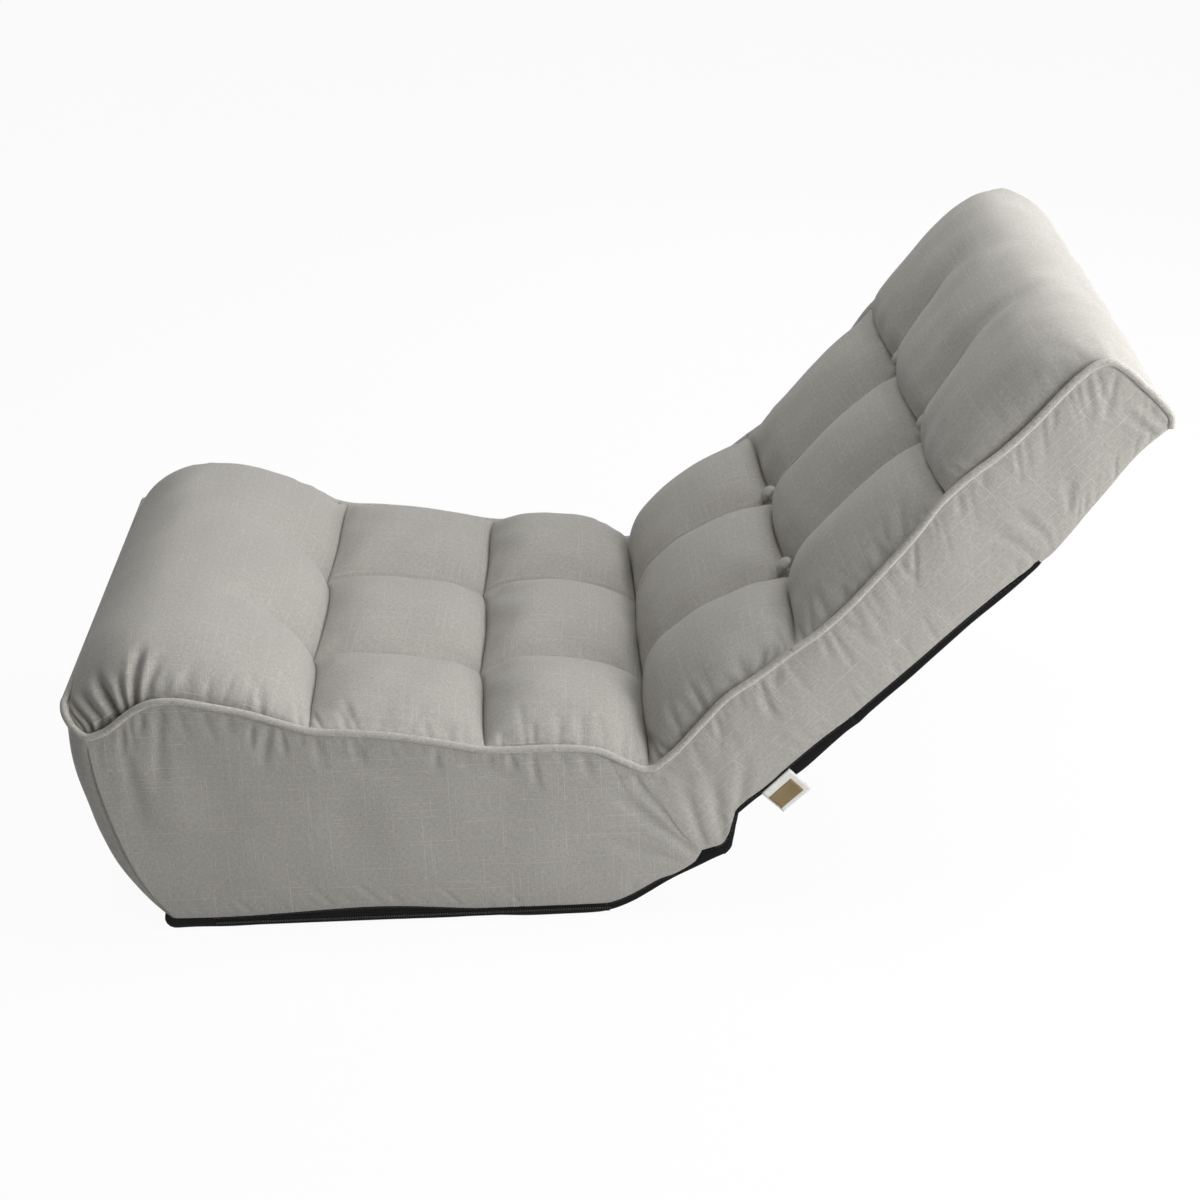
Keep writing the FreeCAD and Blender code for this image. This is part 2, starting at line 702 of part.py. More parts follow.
def gear_plate(name, place, prefix, first_tooth):
    """A toothed hinge plate: a disc, saw teeth in a polar pattern, an arm and a bore."""
    body = document.addObject("PartDesign::Body", name)
    body.Label = name
    disc = new_sketch(body, f"{name}_disc")
    bound_circle(disc, dim.gear_root_radius, "Sizes.gear_root_radius")
    pad(body, disc, f"{name}_disc_pad", "Sizes.gear_thickness")

    arm = new_sketch(body, f"{name}_arm")
    half_arm = dim.gear_arm_width / 2
    corners = (
        FreeCAD.Vector(0, -half_arm, 0),
        FreeCAD.Vector(dim.arm_length, -half_arm, 0),
        FreeCAD.Vector(dim.arm_length, half_arm, 0),
        FreeCAD.Vector(0, half_arm, 0),
    )
    lines = [
        arm.addGeometry(Part.LineSegment(a, b), False)
        for a, b in zip(corners, corners[1:] + corners[:1])
    ]
    for line, following in zip(lines, lines[1:] + lines[:1]):
        arm.addConstraint(Sketcher.Constraint("Coincident", line, 2, following, 1))
    arm.addConstraint(Sketcher.Constraint("Horizontal", lines[0]))
    arm.addConstraint(Sketcher.Constraint("Horizontal", lines[2]))
    arm.addConstraint(Sketcher.Constraint("Vertical", lines[1]))
    arm.addConstraint(Sketcher.Constraint("PointOnObject", lines[3], 1, -2))
    arm.addConstraint(Sketcher.Constraint("Symmetric", lines[3], 1, lines[3], 2, -1, 1))
    width = arm.addConstraint(Sketcher.Constraint("Distance", lines[1], dim.gear_arm_width))
    arm.setExpression(f"Constraints[{width}]", "Sizes.gear_arm_width")
    length = arm.addConstraint(Sketcher.Constraint("Distance", lines[0], dim.arm_length))
    arm.setExpression(f"Constraints[{length}]", "Sizes.arm_length")
    pad(body, arm, f"{name}_arm_pad", "Sizes.gear_thickness")

    tooth = new_sketch(body, f"{name}_tooth")
    pitch = getattr(dim, f"{prefix}_tooth_pitch")
    inside = dim.gear_root_radius - TOOTH_ROOT
    tip_angle = first_tooth + TOOTH_FACE * pitch
    root_expression = f"Sizes.gear_root_radius - {TOOTH_ROOT}"
    polar_triangle(
        tooth,
        (
            (inside, root_expression, first_tooth),
            (dim.gear_tip_radius, "Sizes.gear_tip_radius", tip_angle),
            (inside, root_expression, first_tooth + TOOTH_HEEL * pitch),
        ),
    )
    tooth_pad = pad(body, tooth, f"{name}_tooth_pad", "Sizes.gear_thickness")
    document.recompute()
    pattern = body.newObject("PartDesign::PolarPattern", f"{name}_teeth")
    pattern.Originals = [tooth_pad]
    axis = next(part for part in body.Origin.OriginFeatures if part.Role == "X_Axis")
    pattern.Axis = (axis, [""])
    pattern.Mode = "Spacing"
    pattern.setExpression("Offset", f"Sizes.{prefix}_tooth_pitch")
    pattern.setExpression("Occurrences", f"Sizes.{prefix}_teeth")
    body.Tip = pattern
    document.recompute()

    bore = new_sketch(body, f"{name}_bore")
    bore_radius = dim.rivet_diameter / 2 + dim.running_fit
    bound_circle(bore, bore_radius, "Sizes.rivet_diameter / 2 + Sizes.running_fit")
    pocket = body.newObject("PartDesign::Pocket", f"{name}_bore_pocket")
    pocket.Profile = bore
    pocket.Midplane = True
    pocket.setExpression("Length", "4 * Sizes.gear_thickness")
    body.Tip = pocket
    body.Placement = place
    parts[name] = body


cheek_inner = dim.gear_thickness / 2 + dim.cheek_gap
cheek_outer = cheek_inner + dim.cheek_thickness
pawl_pin = (dim.pawl_distance, -dim.pawl_offset)


def cheek_bracket():
    """Two cheek plates joined by a web at the tube's end, drawn with +Y along the arm."""
    arm = dim.arm_length
    solids = []
    for low, high in ((-cheek_outer, -cheek_inner), (cheek_inner, cheek_outer)):
        start = FreeCAD.Vector(low, 0, 0)
        disc = Part.makeCylinder(dim.cheek_radius, high - low, start, AXIS_X)
        plate = slab(
            low,
            high,
            (0.0, -dim.cheek_arm_low_width),
            (arm, -dim.cheek_arm_low_width),
            (arm, dim.cheek_arm_high_width),
            (0.0, dim.cheek_arm_high_width),
        )
        solids.append(disc.fuse(plate))
    web = slab(
        -cheek_outer,
        cheek_outer,
        (arm - dim.web_thickness, -dim.cheek_arm_low_width),
        (arm, -dim.cheek_arm_low_width),
        (arm, dim.cheek_arm_high_width),
        (arm - dim.web_thickness, dim.cheek_arm_high_width),
    )
    bracket = solids[0].multiFuse([solids[1], web])
    bracket = bracket.cut(round_bar((0, 0), dim.rivet_diameter / 2 + dim.running_fit))
    return bracket.cut(round_bar(pawl_pin, dim.pin_diameter / 2 + dim.running_fit))


def pivot_rivet():
    """The hinge's pivot: a shank through both cheeks, with a head at each end."""
    shank = round_bar((0, 0), dim.rivet_diameter / 2, cheek_outer)
    head_radius = dim.rivet_head_diameter / 2
    heads = []
    for low in (cheek_outer, -cheek_outer - dim.rivet_head_height):
        start = FreeCAD.Vector(low, 0, 0)
        heads.append(Part.makeCylinder(head_radius, dim.rivet_head_height, start, AXIS_X))
    return shank.multiFuse(heads)


def pawl_pin_bar():
    """The pin that the pawl swings on, as long as the cheeks are apart."""
    return round_bar(pawl_pin, dim.pin_diameter / 2, cheek_outer)


def pawl_plate():
    """The pawl: an eye on its pin and a nose that stands in a tooth gap."""
    tip = dim.gear_tip_radius
    nose = dim.nose_angle
    eye_reach = (0.8 * dim.pawl_eye_radius, 0.5 * dim.pawl_eye_radius)
    body = slab(
        -dim.pawl_thickness / 2,
        dim.pawl_thickness / 2,
        toward(nose - dim.nose_slack, dim.gear_root_radius + dim.nose_clearance),
        toward(nose - dim.nose_slack, tip + dim.nose_height),
        toward(nose - dim.shoulder_angle, tip + dim.pawl_back_height),
        shifted(pawl_pin, *eye_reach),
        shifted(pawl_pin, -eye_reach[0], -eye_reach[1]),
        toward(nose - dim.throat_angle, tip + dim.pawl_throat_height),
        toward(nose - dim.nose_span, tip + dim.nose_clearance),
    )
    eye = round_bar(pawl_pin, dim.pawl_eye_radius, dim.pawl_thickness / 2)
    hole = round_bar(pawl_pin, dim.pin_diameter / 2 + dim.running_fit)
    return body.fuse(eye).cut(hole)


def leaf_spring():
    """A leaf from the web to the back of the pawl."""
    root = (dim.arm_length - dim.web_thickness, -dim.cheek_arm_low_width / 2)
    touch_radius = dim.gear_tip_radius + dim.pawl_back_height + dim.spring_gap
    touch = toward(dim.nose_angle - dim.shoulder_angle + 1.0, touch_radius)
    return slab(
        -dim.pawl_thickness / 2,
        dim.pawl_thickness / 2,
        root,
        shifted(root, 0, dim.spring_thickness),
        shifted(touch, 0, dim.spring_thickness),
        touch,
    )


def ratchet_hinge(prefix, point, arm_angle, gear_angle, teeth_past):
    """The pieces of a pair of hinges, and the pockets that the foam leaves for their arms."""
    nose_seen = arm_angle + dim.nose_angle - gear_angle
    pitch = getattr(dim, f"{prefix}_tooth_pitch")
    first_tooth = (nose_seen - teeth_past * pitch) % 360.0
    pockets = []
    fasteners = {"hinge_rivets": [], "pawl_pins": [], "pawl_springs": []}
    for side, sign in (("left", 1), ("right", -1)):
        x = sign * half_spacing
        arm_place = frame_at(point, arm_angle, x)
        add(f"{prefix}_hinge_cheeks_{side}", cheek_bracket(), arm_place)
        add(f"{prefix}_pawl_{side}", pawl_plate(), arm_place)
        gear_place = frame_at(point, gear_angle, x)
        gear_plate(f"{prefix}_hinge_gear_{side}", gear_place, prefix, first_tooth)
        across = FreeCAD.Vector(x, 0, 0)
        fasteners["hinge_rivets"].append(pivot_rivet().translated(across))
        fasteners["pawl_pins"].append(pawl_pin_bar().translated(across))
        fasteners["pawl_springs"].append(leaf_spring().translated(across))
        pocket = slab(
            -cheek_outer - dim.rivet_head_height - dim.tube_clearance,
            cheek_outer + dim.rivet_head_height + dim.tube_clearance,
            (0.0, -dim.cheek_arm_low_width - dim.tube_clearance),
            (dim.arm_length, -dim.cheek_arm_low_width - dim.tube_clearance),
            (dim.arm_length, dim.cheek_arm_high_width + dim.tube_clearance),
            (0.0, dim.cheek_arm_high_width + dim.tube_clearance),
        )
        pocket.Placement = arm_place
        pockets.append(pocket)
    for name, solids in fasteners.items():
        add(f"{prefix}_{name}", Part.makeCompound(solids), frame_at(point, arm_angle))
    return pockets


head_point = seen_outside(back_frame, head_hinge)
seat_pockets = ratchet_hinge(
    "back", hinge, seat_arm_angle, dim.back_angle, dim.back_teeth_past
)
head_pockets = ratchet_hinge(
    "head",
    head_point,
    dim.back_angle + 180.0,
    dim.head_angle + dim.head_tube_lean,
    dim.head_teeth_past,
)
for pocket in head_pockets:
    pocket.Placement = back_frame.inverse() * pocket.Placement


# Seat cushions

def cross_channel(along, height):
    """The foam's channel around a cross tube."""
    return round_bar((along, height), dim.cross_diameter / 2 + dim.tube_clearance, half_spacing)


core_region = slab(
    -REACH,
    REACH,
    (-REACH, -REACH),
    shifted(tail, 0, -REACH),
    tail,
    hinge,
    crease_low,
    (-REACH, dim.core_height),
)
seat_core_full = inner_block.common(above_base(dim.lining_cloth)).common(core_region)
seat_core = seat_core_full.common(zone_seat)
for channel in [
    seat_channel,
    seat_tunnel,
    cross_channel(dim.middle_cross_offset, dim.seat_tube_height),
    cross_channel(dim.rear_cross_offset, dim.seat_tube_height),
    *seat_pockets,
]:
    seat_core = seat_core.cut(channel)
add("seat_foam_core", one_solid(seat_core))


def roll_section(x, shift, crest):
    """The front roll's outline at x."""
    edge = shifted(front, dim.panel_cloth + shift)
    low = (edge[0] - dim.front_bulge, dim.core_height)
    arc = ((front[0] + dim.roll_crest_setback, crest), edge)
    return x, ((roll_seam[0], dim.core_height), roll_seam, arc, low)


shoulder = half_foam - dim.front_corner_radius
roll_stations = (
    (half_foam, dim.front_corner_radius - dim.panel_cloth, dim.roll_edge_crest),
    (shoulder, 1.0, dim.roll_shoulder_crest),
    (column_middle, 0.0, dim.roll_crest),
    (dim.column_seam_offset, 0.0, dim.roll_seam_crest),
    (0.0, 0.0, dim.roll_crest),
)
roll_sections = [roll_section(x, shift, crest) for x, shift, crest in roll_stations]
roll_sections += [
    roll_section(-x, shift, crest) for x, shift, crest in reversed(roll_stations[:-1])
]
roll = lofted(roll_sections).common(inner_block)
add("front_roll_cushion", one_solid(roll))

front_row = tufted_row(
    (roll_seam[0], dim.core_height),
    roll_seam,
    row_seam,
    (row_seam[0], dim.core_height),
    dim.front_row_edge_rise,
    dim.front_row_seam_rise,
    dim.front_row_rise,
)
add("seat_front_row_cushion", one_solid(front_row))

rear_row_full = tufted_row(
    (row_seam[0], dim.core_height),
    row_seam,
    crease,
    crease_low,
    dim.rear_row_edge_rise,
    dim.rear_row_seam_rise,
    dim.rear_row_rise,
)
add("seat_rear_row_cushion", one_solid(rear_row_full.common(zone_seat)))


# Seat cover

outer_block = front_block(0.0, front[1])
panel_zone = above_base(dim.lining_flange)
front_panel = outer_block.cut(inner_block).common(front_band()).common(panel_zone)
add("seat_front_panel", one_solid(front_panel))


def seat_side(low_x, high_x):
    """The seat's whole side, up to the crease, between two planes."""
    low = shifted(foot, dim.front_seam_setback)
    high = side_front
    return slab(
        low_x,
        high_x,
        low,
        (crown(low, high, dim.front_bulge)[0], high),
        roll_top,
        front_row_top,
        rear_row_top,
        hinge,
        tail,
        (half_flat, 0.0),
    )


side_full = seat_side(half_foam, half_width)
side_panel = side_full.common(zone_seat).common(panel_zone)
add("seat_side_panel_left", one_solid(side_panel))
add("seat_side_panel_right", one_solid(mirrored(side_panel)))

tray = outer_block.cut(inner_block.common(above_base(dim.lining_cloth)))
tray = tray.common(above_base(0.0)).cut(panel_zone).common(zone_seat)
tray = tray.common(side_of(tail, 90.0))
add("seat_base_cloth", one_solid(tray))


def from_frame(place, arcs):
    """Arc pieces of a turned frame, in the chair's frame."""
    return [tuple(seen_outside(place, point) for point in arc) for arc in arcs]


lumbar_top = crown(back_crease, lumbar_seam, dim.lumbar_edge_rise)
upper_top = crown(lumbar_seam, neck_seam, dim.upper_edge_rise)
head_front_arc = crown(head_neck, head_top, dim.head_edge_rise)
cap_middle = (dim.head_length + dim.head_cap_height, (head_top[1] + head_end[1]) / 2)
top_arcs = [
    (side_front, *roll_top),
    (roll_seam, *front_row_top),
    (row_seam, *rear_row_top),
    *from_frame(back_frame, [(back_crease, *lumbar_top), (lumbar_seam, *upper_top)]),
    *from_frame(head_frame, [(head_neck, *head_front_arc), (head_top, cap_middle, head_end)]),
]
cord_lift = piping_radius + dim.soft_gap
circles = [lifted_circle(*arc, cord_lift) for arc in top_arcs]
front_circles = circles[:-1]
corners = [
    where_circles_cross(first, second, arc[0])
    for first, second, arc in zip(front_circles, front_circles[1:], top_arcs[1:])
]
head_corner = seen_outside(head_frame, head_top)
corners.append(on_circle(circles[-2], head_corner))
cord_middles = [on_circle(circle, arc[1]) for circle, arc in zip(circles, top_arcs)]
cap_start = on_circle(circles[-1], head_corner)
cap_end = on_circle(circles[-1], top_arcs[-1][2])
corner_angle = angle_to(between(corners[-1], cap_start, 0.5), head_corner)
round_corner = toward(corner_angle, cord_lift, head_corner)
cord_start = on_circle(circles[0], side_front)
whole_cord = piping_run(
    half_width,
    cord_start,
    *zip(cord_middles, corners),
    (round_corner, cap_start),
    (cord_middles[-1], cap_end),
)


# A side cord lies the same way on the other side
other_side = FreeCAD.Placement(FreeCAD.Vector(-2 * half_width, 0, 0), FreeCAD.Rotation())

seat_cord = one_solid(whole_cord.common(zone_seat))
add("seat_piping_left", seat_cord)
add("seat_piping_right", seat_cord, other_side)

front_cord_height = front[1] + cord_lift
past_side_seam = side_front[0] + dim.piping_diameter
front_cord_route = [
    FreeCAD.Vector(half_width, past_side_seam, front_cord_height),
    FreeCAD.Vector(half_width, front[0], front_cord_height),
    FreeCAD.Vector(-half_width, front[0], front_cord_height),
    FreeCAD.Vector(-half_width, past_side_seam, front_cord_height),
]
front_cord = bent_tube(front_cord_route, piping_radius, dim.front_corner_radius)
front_cord = front_cord.common(side_of(cord_start, angle_to(cord_start, circles[0][0])))
add("seat_piping_front", one_solid(front_cord))

zip_low = (foot[0] + 2 * dim.front_seam_setback, dim.lining_flange - dim.zip_width / 2)
zip_tape = slab(
    half_width,
    half_width + dim.zip_thickness,
    zip_low,
    (half_flat, zip_low[1]),
    (half_flat, zip_low[1] + dim.zip_width),
    (zip_low[0], zip_low[1] + dim.zip_width),
)
add("base_zip", zip_tape)


# Back cushions, in the back's frame

back_rear_left = shifted(back_foot, 0, dim.lining_cloth)
back_rear_right = shifted(back_end, 0, dim.lining_cloth)
back_low = at_height((0, 0), back_crease, dim.back_core_depth)
neck_low = at_height(head_hinge, neck_seam, dim.back_core_depth)
back_core_full = slab(
    -half_foam,
    half_foam,
    (0.0, 0.0),
    back_rear_left,
    back_rear_right,
    head_hinge,
    neck_low,
    back_low,
)
back_bar = Part.makeCylinder(
    channel_radius, dim.back_length, FreeCAD.Vector(half_spacing, 0, 0), FreeCAD.Vector(0, 1, 0)
)
back_core = back_core_full.common(zone_back)
for channel in [
    back_bar,
    mirrored(back_bar),
    round_bar((0, 0), dim.hinge_tunnel_radius),
    round_bar(head_hinge, dim.hinge_tunnel_radius),
    cross_channel(dim.back_cross_low_distance, 0.0),
    cross_channel(dim.back_cross_high_distance, 0.0),
    *head_pockets,
]:
    back_core = back_core.cut(channel)
add("back_foam_core", one_solid(back_core), back_frame)

lumbar_low = (lumbar_seam[0], dim.back_core_depth)
lumbar_full = tufted_row(
    back_low,
    back_crease,
    lumbar_seam,
    lumbar_low,
    dim.lumbar_edge_rise,
    dim.lumbar_seam_rise,
    dim.lumbar_rise,
)
upper_full = tufted_row(
    lumbar_low,
    lumbar_seam,
    neck_seam,
    neck_low,
    dim.upper_edge_rise,
    dim.upper_seam_rise,
    dim.upper_rise,
)


# Tuft buttons

def button_at(x, seam, radius, height, sink):
    """A cylinder that stands off a seam, facing forward."""
    start = FreeCAD.Vector(x, seam[0], seam[1] + sink)
    return Part.makeCylinder(radius, height, start, FreeCAD.Vector(0, 0, 1))


button_radius = dim.button_diameter / 2
button_offsets = (dim.column_seam_offset, -dim.column_seam_offset)
button_seats = [(x, seam) for seam in (lumbar_seam, neck_seam) for x in button_offsets]


def button(x, seam):
    """A covered button: a short rim and a low dome."""
    rim = button_at(x, seam, button_radius, dim.button_height / 2, dim.button_sink_offset)
    dome_rise = dim.button_height / 2
    dome_radius = (button_radius**2 + dome_rise**2) / (2 * dome_rise)
    rim_top = seam[1] + dim.button_sink_offset + dome_rise
    ball_centre = FreeCAD.Vector(x, seam[0], rim_top + dome_rise - dome_radius)
    ball = Part.makeSphere(dome_radius, ball_centre)
    cap = button_at(x, seam, button_radius, dim.button_height, dim.button_sink_offset)
    return rim.fuse(ball.common(cap))


button_dimples = [
    button_at(x, seam, button_radius + dim.button_clearance, REACH, dim.button_sink_offset)
    for x, seam in button_seats
]
add("tuft_buttons", Part.makeCompound([button(*seat) for seat in button_seats]), back_frame)
lumbar_full = lumbar_full.cut(button_dimples)
upper_full = upper_full.cut(button_dimples)
add("lumbar_row_cushion", one_solid(lumbar_full.common(zone_back)), back_frame)
add("upper_row_cushion", one_solid(upper_full.common(zone_back)), back_frame)


# Back cover

back_side_full = slab(
    half_foam,
    half_width,
    (0.0, 0.0),
    back_foot,
    back_end,
    head_hinge,
    neck_seam,
    (upper_top[0], lumbar_seam),
    (lumbar_top[0], back_crease),
)
back_side = one_solid(back_side_full.common(zone_back))
add("back_side_panel_left", back_side, back_frame)
add("back_side_panel_right", mirrored(back_side), back_frame)
back_lining = slab(
    -half_foam, half_foam, back_foot, back_end, back_rear_right, back_rear_left
)
add("back_rear_cloth", one_solid(back_lining.common(zone_back)), back_frame)
zone_back_outside = in_seat_frame(zone_back, back_frame)
back_cord = one_solid(whole_cord.common(zone_back_outside))
add("back_piping_left", back_cord)
add("back_piping_right", back_cord, other_side)
tag_left = dim.tag_distance - dim.tag_width / 2
tag_right = dim.tag_distance + dim.tag_width / 2
tag_edge = at_along(back_foot, back_end, dim.tag_distance)[1]
tag = slab(
    half_width,
    half_width + dim.tag_thickness,
    (tag_left, tag_edge - dim.tag_height),
    (tag_right, tag_edge - dim.tag_height),
    (tag_right, tag_edge + dim.tag_seam_height),
    (tag_left, tag_edge + dim.tag_seam_height),
)
add("blank_tag", tag, back_frame)


# Head cushion and cover, in the head's frame

def head_outline(rise, inset):
    """The head's outline from its hinge, inset from the rear and the top."""
    rear_low = shifted(head_foot, 0, inset)
    rear_high = shifted(head_end, -inset, inset)
    top = shifted(head_top, -inset, 0)
    middle = shifted(cap_middle, -inset, 0)
    return (
        (0.0, 0.0),
        head_neck,
        crown(head_neck, top, rise),
        (middle, rear_high),
        rear_low,
    )


def head_cushion():
    """The head roll's foam: one smooth loft over its three columns."""
    stations = (
        (half_foam, dim.head_edge_rise),
        (column_middle, dim.head_rise),
        (dim.column_seam_offset, dim.head_seam_rise),
        (0.0, dim.head_rise),
    )
    both = list(stations) + [(-x, rise) for x, rise in reversed(stations[:-1])]
    return lofted([(x, head_outline(rise, dim.panel_cloth)) for x, rise in both])


head_full = head_cushion()
head_dimples = [tool.copy() for tool in button_dimples]
for tool in head_dimples:
    tool.Placement = head_frame.inverse() * back_frame * tool.Placement
head_full = head_full.cut(head_dimples)


def button_slot(x):
    """The hollow that a button of the neck seam slides into, in the back's frame."""
    low = neck_seam[1] + dim.button_sink_offset
    rims = [
        (neck_seam[0] + along, height)
        for along in (-button_radius, 0.0, button_radius)
        for height in (low, low + dim.button_height)
    ]
    distances = [math.dist(head_hinge, rim) for rim in rims]
    reach = button_radius + dim.button_clearance
    start = FreeCAD.Vector(x - reach, *head_hinge)
    inner_radius = min(distances) - dim.button_clearance
    outer_radius = max(distances) + dim.button_clearance
    inner = Part.makeCylinder(inner_radius, 2 * reach, start, AXIS_X)
    outer = Part.makeCylinder(outer_radius, 2 * reach, start, AXIS_X)
    half_span = math.degrees(math.asin(reach / min(distances)))
    far_side = side_of(head_hinge, neck_angle - dim.head_travel - half_span)
    return outer.cut(inner).common(far_side)


head_slots = [button_slot(x) for x in button_offsets]
for slot in head_slots:
    slot.Placement = head_frame.inverse() * back_frame * slot.Placement
head_roll = head_full.common(zone_head).cut([head_channel] + head_slots)
head_roll = head_roll.cut(round_bar((0, 0), dim.hinge_tunnel_radius))
add("head_roll_cushion", one_solid(head_roll), head_frame)

head_shell = slab(-half_foam, half_foam, *head_outline(dim.head_edge_rise, 0.0))
head_shell_inner = slab(-half_width, half_width, *head_outline(dim.head_rise, dim.panel_cloth))
rear_strip = slab(
    -REACH,
    REACH,
    shifted(head_foot, 0, -REACH),
    shifted(head_foot, 0, dim.panel_cloth),
    (REACH, -dim.head_rear_high_depth + dim.panel_cloth),
    (REACH, -REACH),
)
top_strip = slab(
    -REACH,
    REACH,
    shifted(head_top, -dim.panel_cloth, 0),
    (REACH, head_top[1]),
    (REACH, -REACH),
    shifted(head_end, -dim.panel_cloth, -REACH),
)
head_rear = head_shell.cut(head_shell_inner).common(rear_strip.fuse(top_strip))
add("head_rear_panel", one_solid(head_rear.common(zone_head)), head_frame)
head_side_full = slab(half_foam, half_width, *head_outline(dim.head_edge_rise, 0.0))
head_side = one_solid(head_side_full.common(zone_head))
add("head_side_panel_left", head_side, head_frame)
add("head_side_panel_right", mirrored(head_side), head_frame)
head_cord = one_solid(whole_cord.common(in_seat_frame(zone_head, head_frame)))
add("head_piping_left", head_cord)
add("head_piping_right", head_cord, other_side)


# Creases that give when the chair folds

crease_seat_side = side_of(hinge, seat_limit + 180.0)
crease_back_side = side_of(toward(back_limit + 90.0, dim.soft_gap), back_limit)
crease_back_side = in_seat_frame(crease_back_side, back_frame)
side_pair = [side_full, mirrored(side_full)]
seat_flank = seat_core_full.multiFuse([rear_row_full] + side_pair).common(crease_seat_side)
back_pair = [back_side_full, mirrored(back_side_full)]
back_flank = back_core_full.multiFuse([lumbar_full] + back_pair)
back_flank = in_seat_frame(back_flank, back_frame).common(crease_back_side)
crease_pad = seat_flank.fuse(back_flank).cut(seat_tunnel)
add("crease_pad", one_solid(crease_pad))

crease_cord = one_solid(whole_cord.common(crease_seat_side.common(crease_back_side)))
crease_cords = [crease_cord, in_seat_frame(crease_cord, other_side)]
add("crease_piping", Part.makeCompound(crease_cords))

neck_back_side = side_of(head_hinge, neck_limit + 180.0)
neck_head_side = side_of(toward(head_limit + 90.0, dim.soft_gap), head_limit)
neck_head_side = in_seat_frame(neck_head_side, head_frame)
neck_head_side = in_seat_frame(neck_head_side, back_frame.inverse())


def in_back_frame(shape):
    """A copy of a head piece, set in the back's frame."""
    return in_seat_frame(in_seat_frame(shape, head_frame), back_frame.inverse())


upper_flank = back_core_full.multiFuse([upper_full] + back_pair).common(neck_back_side)
head_pair = [head_side_full, mirrored(head_side_full)]
head_flank = in_back_frame(head_full.multiFuse(head_pair)).common(neck_head_side)
neck_pad = upper_flank.fuse(head_flank).cut(round_bar(head_hinge, dim.hinge_tunnel_radius))
add("neck_pad", one_solid(neck_pad), back_frame)
neck_zone = in_seat_frame(neck_back_side.common(neck_head_side), back_frame)
neck_cord = one_solid(whole_cord.common(neck_zone))
neck_cords = [neck_cord, in_seat_frame(neck_cord, other_side)]
add("neck_piping", Part.makeCompound(neck_cords))


# Lining gussets behind the hinges

def gusset(low, high, centre):
    """A cloth strip round the back of a hinge, from one lining's end to the other's."""
    radius_low = math.dist(low, centre)
    radius_high = math.dist(high, centre)
    middle_angle = angle_to(low, centre)
    span = (angle_to(high, centre) - middle_angle) % 360.0
    middle_radius = (radius_low + radius_high) / 2
    outer_middle = toward(middle_angle + span / 2, middle_radius, centre)
    inset = dim.lining_cloth
    inner_low = toward(angle_to(low, centre), radius_low - inset, centre)
    inner_high = toward(angle_to(high, centre), radius_high - inset, centre)
    inner_middle = toward(middle_angle + span / 2, middle_radius - inset, centre)
    return slab(
        -half_width, half_width, low, (outer_middle, high), inner_high, (inner_middle, inner_low)
    )


back_foot_outside = seen_outside(back_frame, back_foot)
hinge_gusset = gusset(tail, back_foot_outside, hinge)
add("hinge_gusset", hinge_gusset)
head_foot_in_back = seen_from(back_frame, seen_outside(head_frame, head_foot))
neck_gusset = gusset(back_end, head_foot_in_back, head_hinge)
add("neck_gusset", neck_gusset, back_frame)


# Checks and files

document.recompute()
for item in document.Objects:
    if "Invalid" in item.State or "Error" in item.State:
        raise RuntimeError(f"{item.Label} did not build: {item.State}")

os.makedirs("parts", exist_ok=True)
for name, piece in sorted(parts.items()):
    shape = piece.Shape
    if shape.isNull() or not shape.isValid() or not shape.Solids:
        raise RuntimeError(f"{name} has no valid solid")
    shape.exportStep(f"parts/{name}.step")
    print(f"{name}: {len(shape.Solids)} solid, {shape.Volume / 1000:.1f} cm3")
print(f"{len(parts)} nodes")
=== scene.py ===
"""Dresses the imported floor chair: linen cushions, piping, lining, foam, steel, a studio and a camera.

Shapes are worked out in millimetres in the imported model's frame: x to the sitter's left, y to the
back, z up. They become metres where a mesh is made.
"""

import json
import logging
import math
from dataclasses import dataclass, field
from enum import Enum

import bpy
import numpy as np
from mathutils import Matrix, Vector

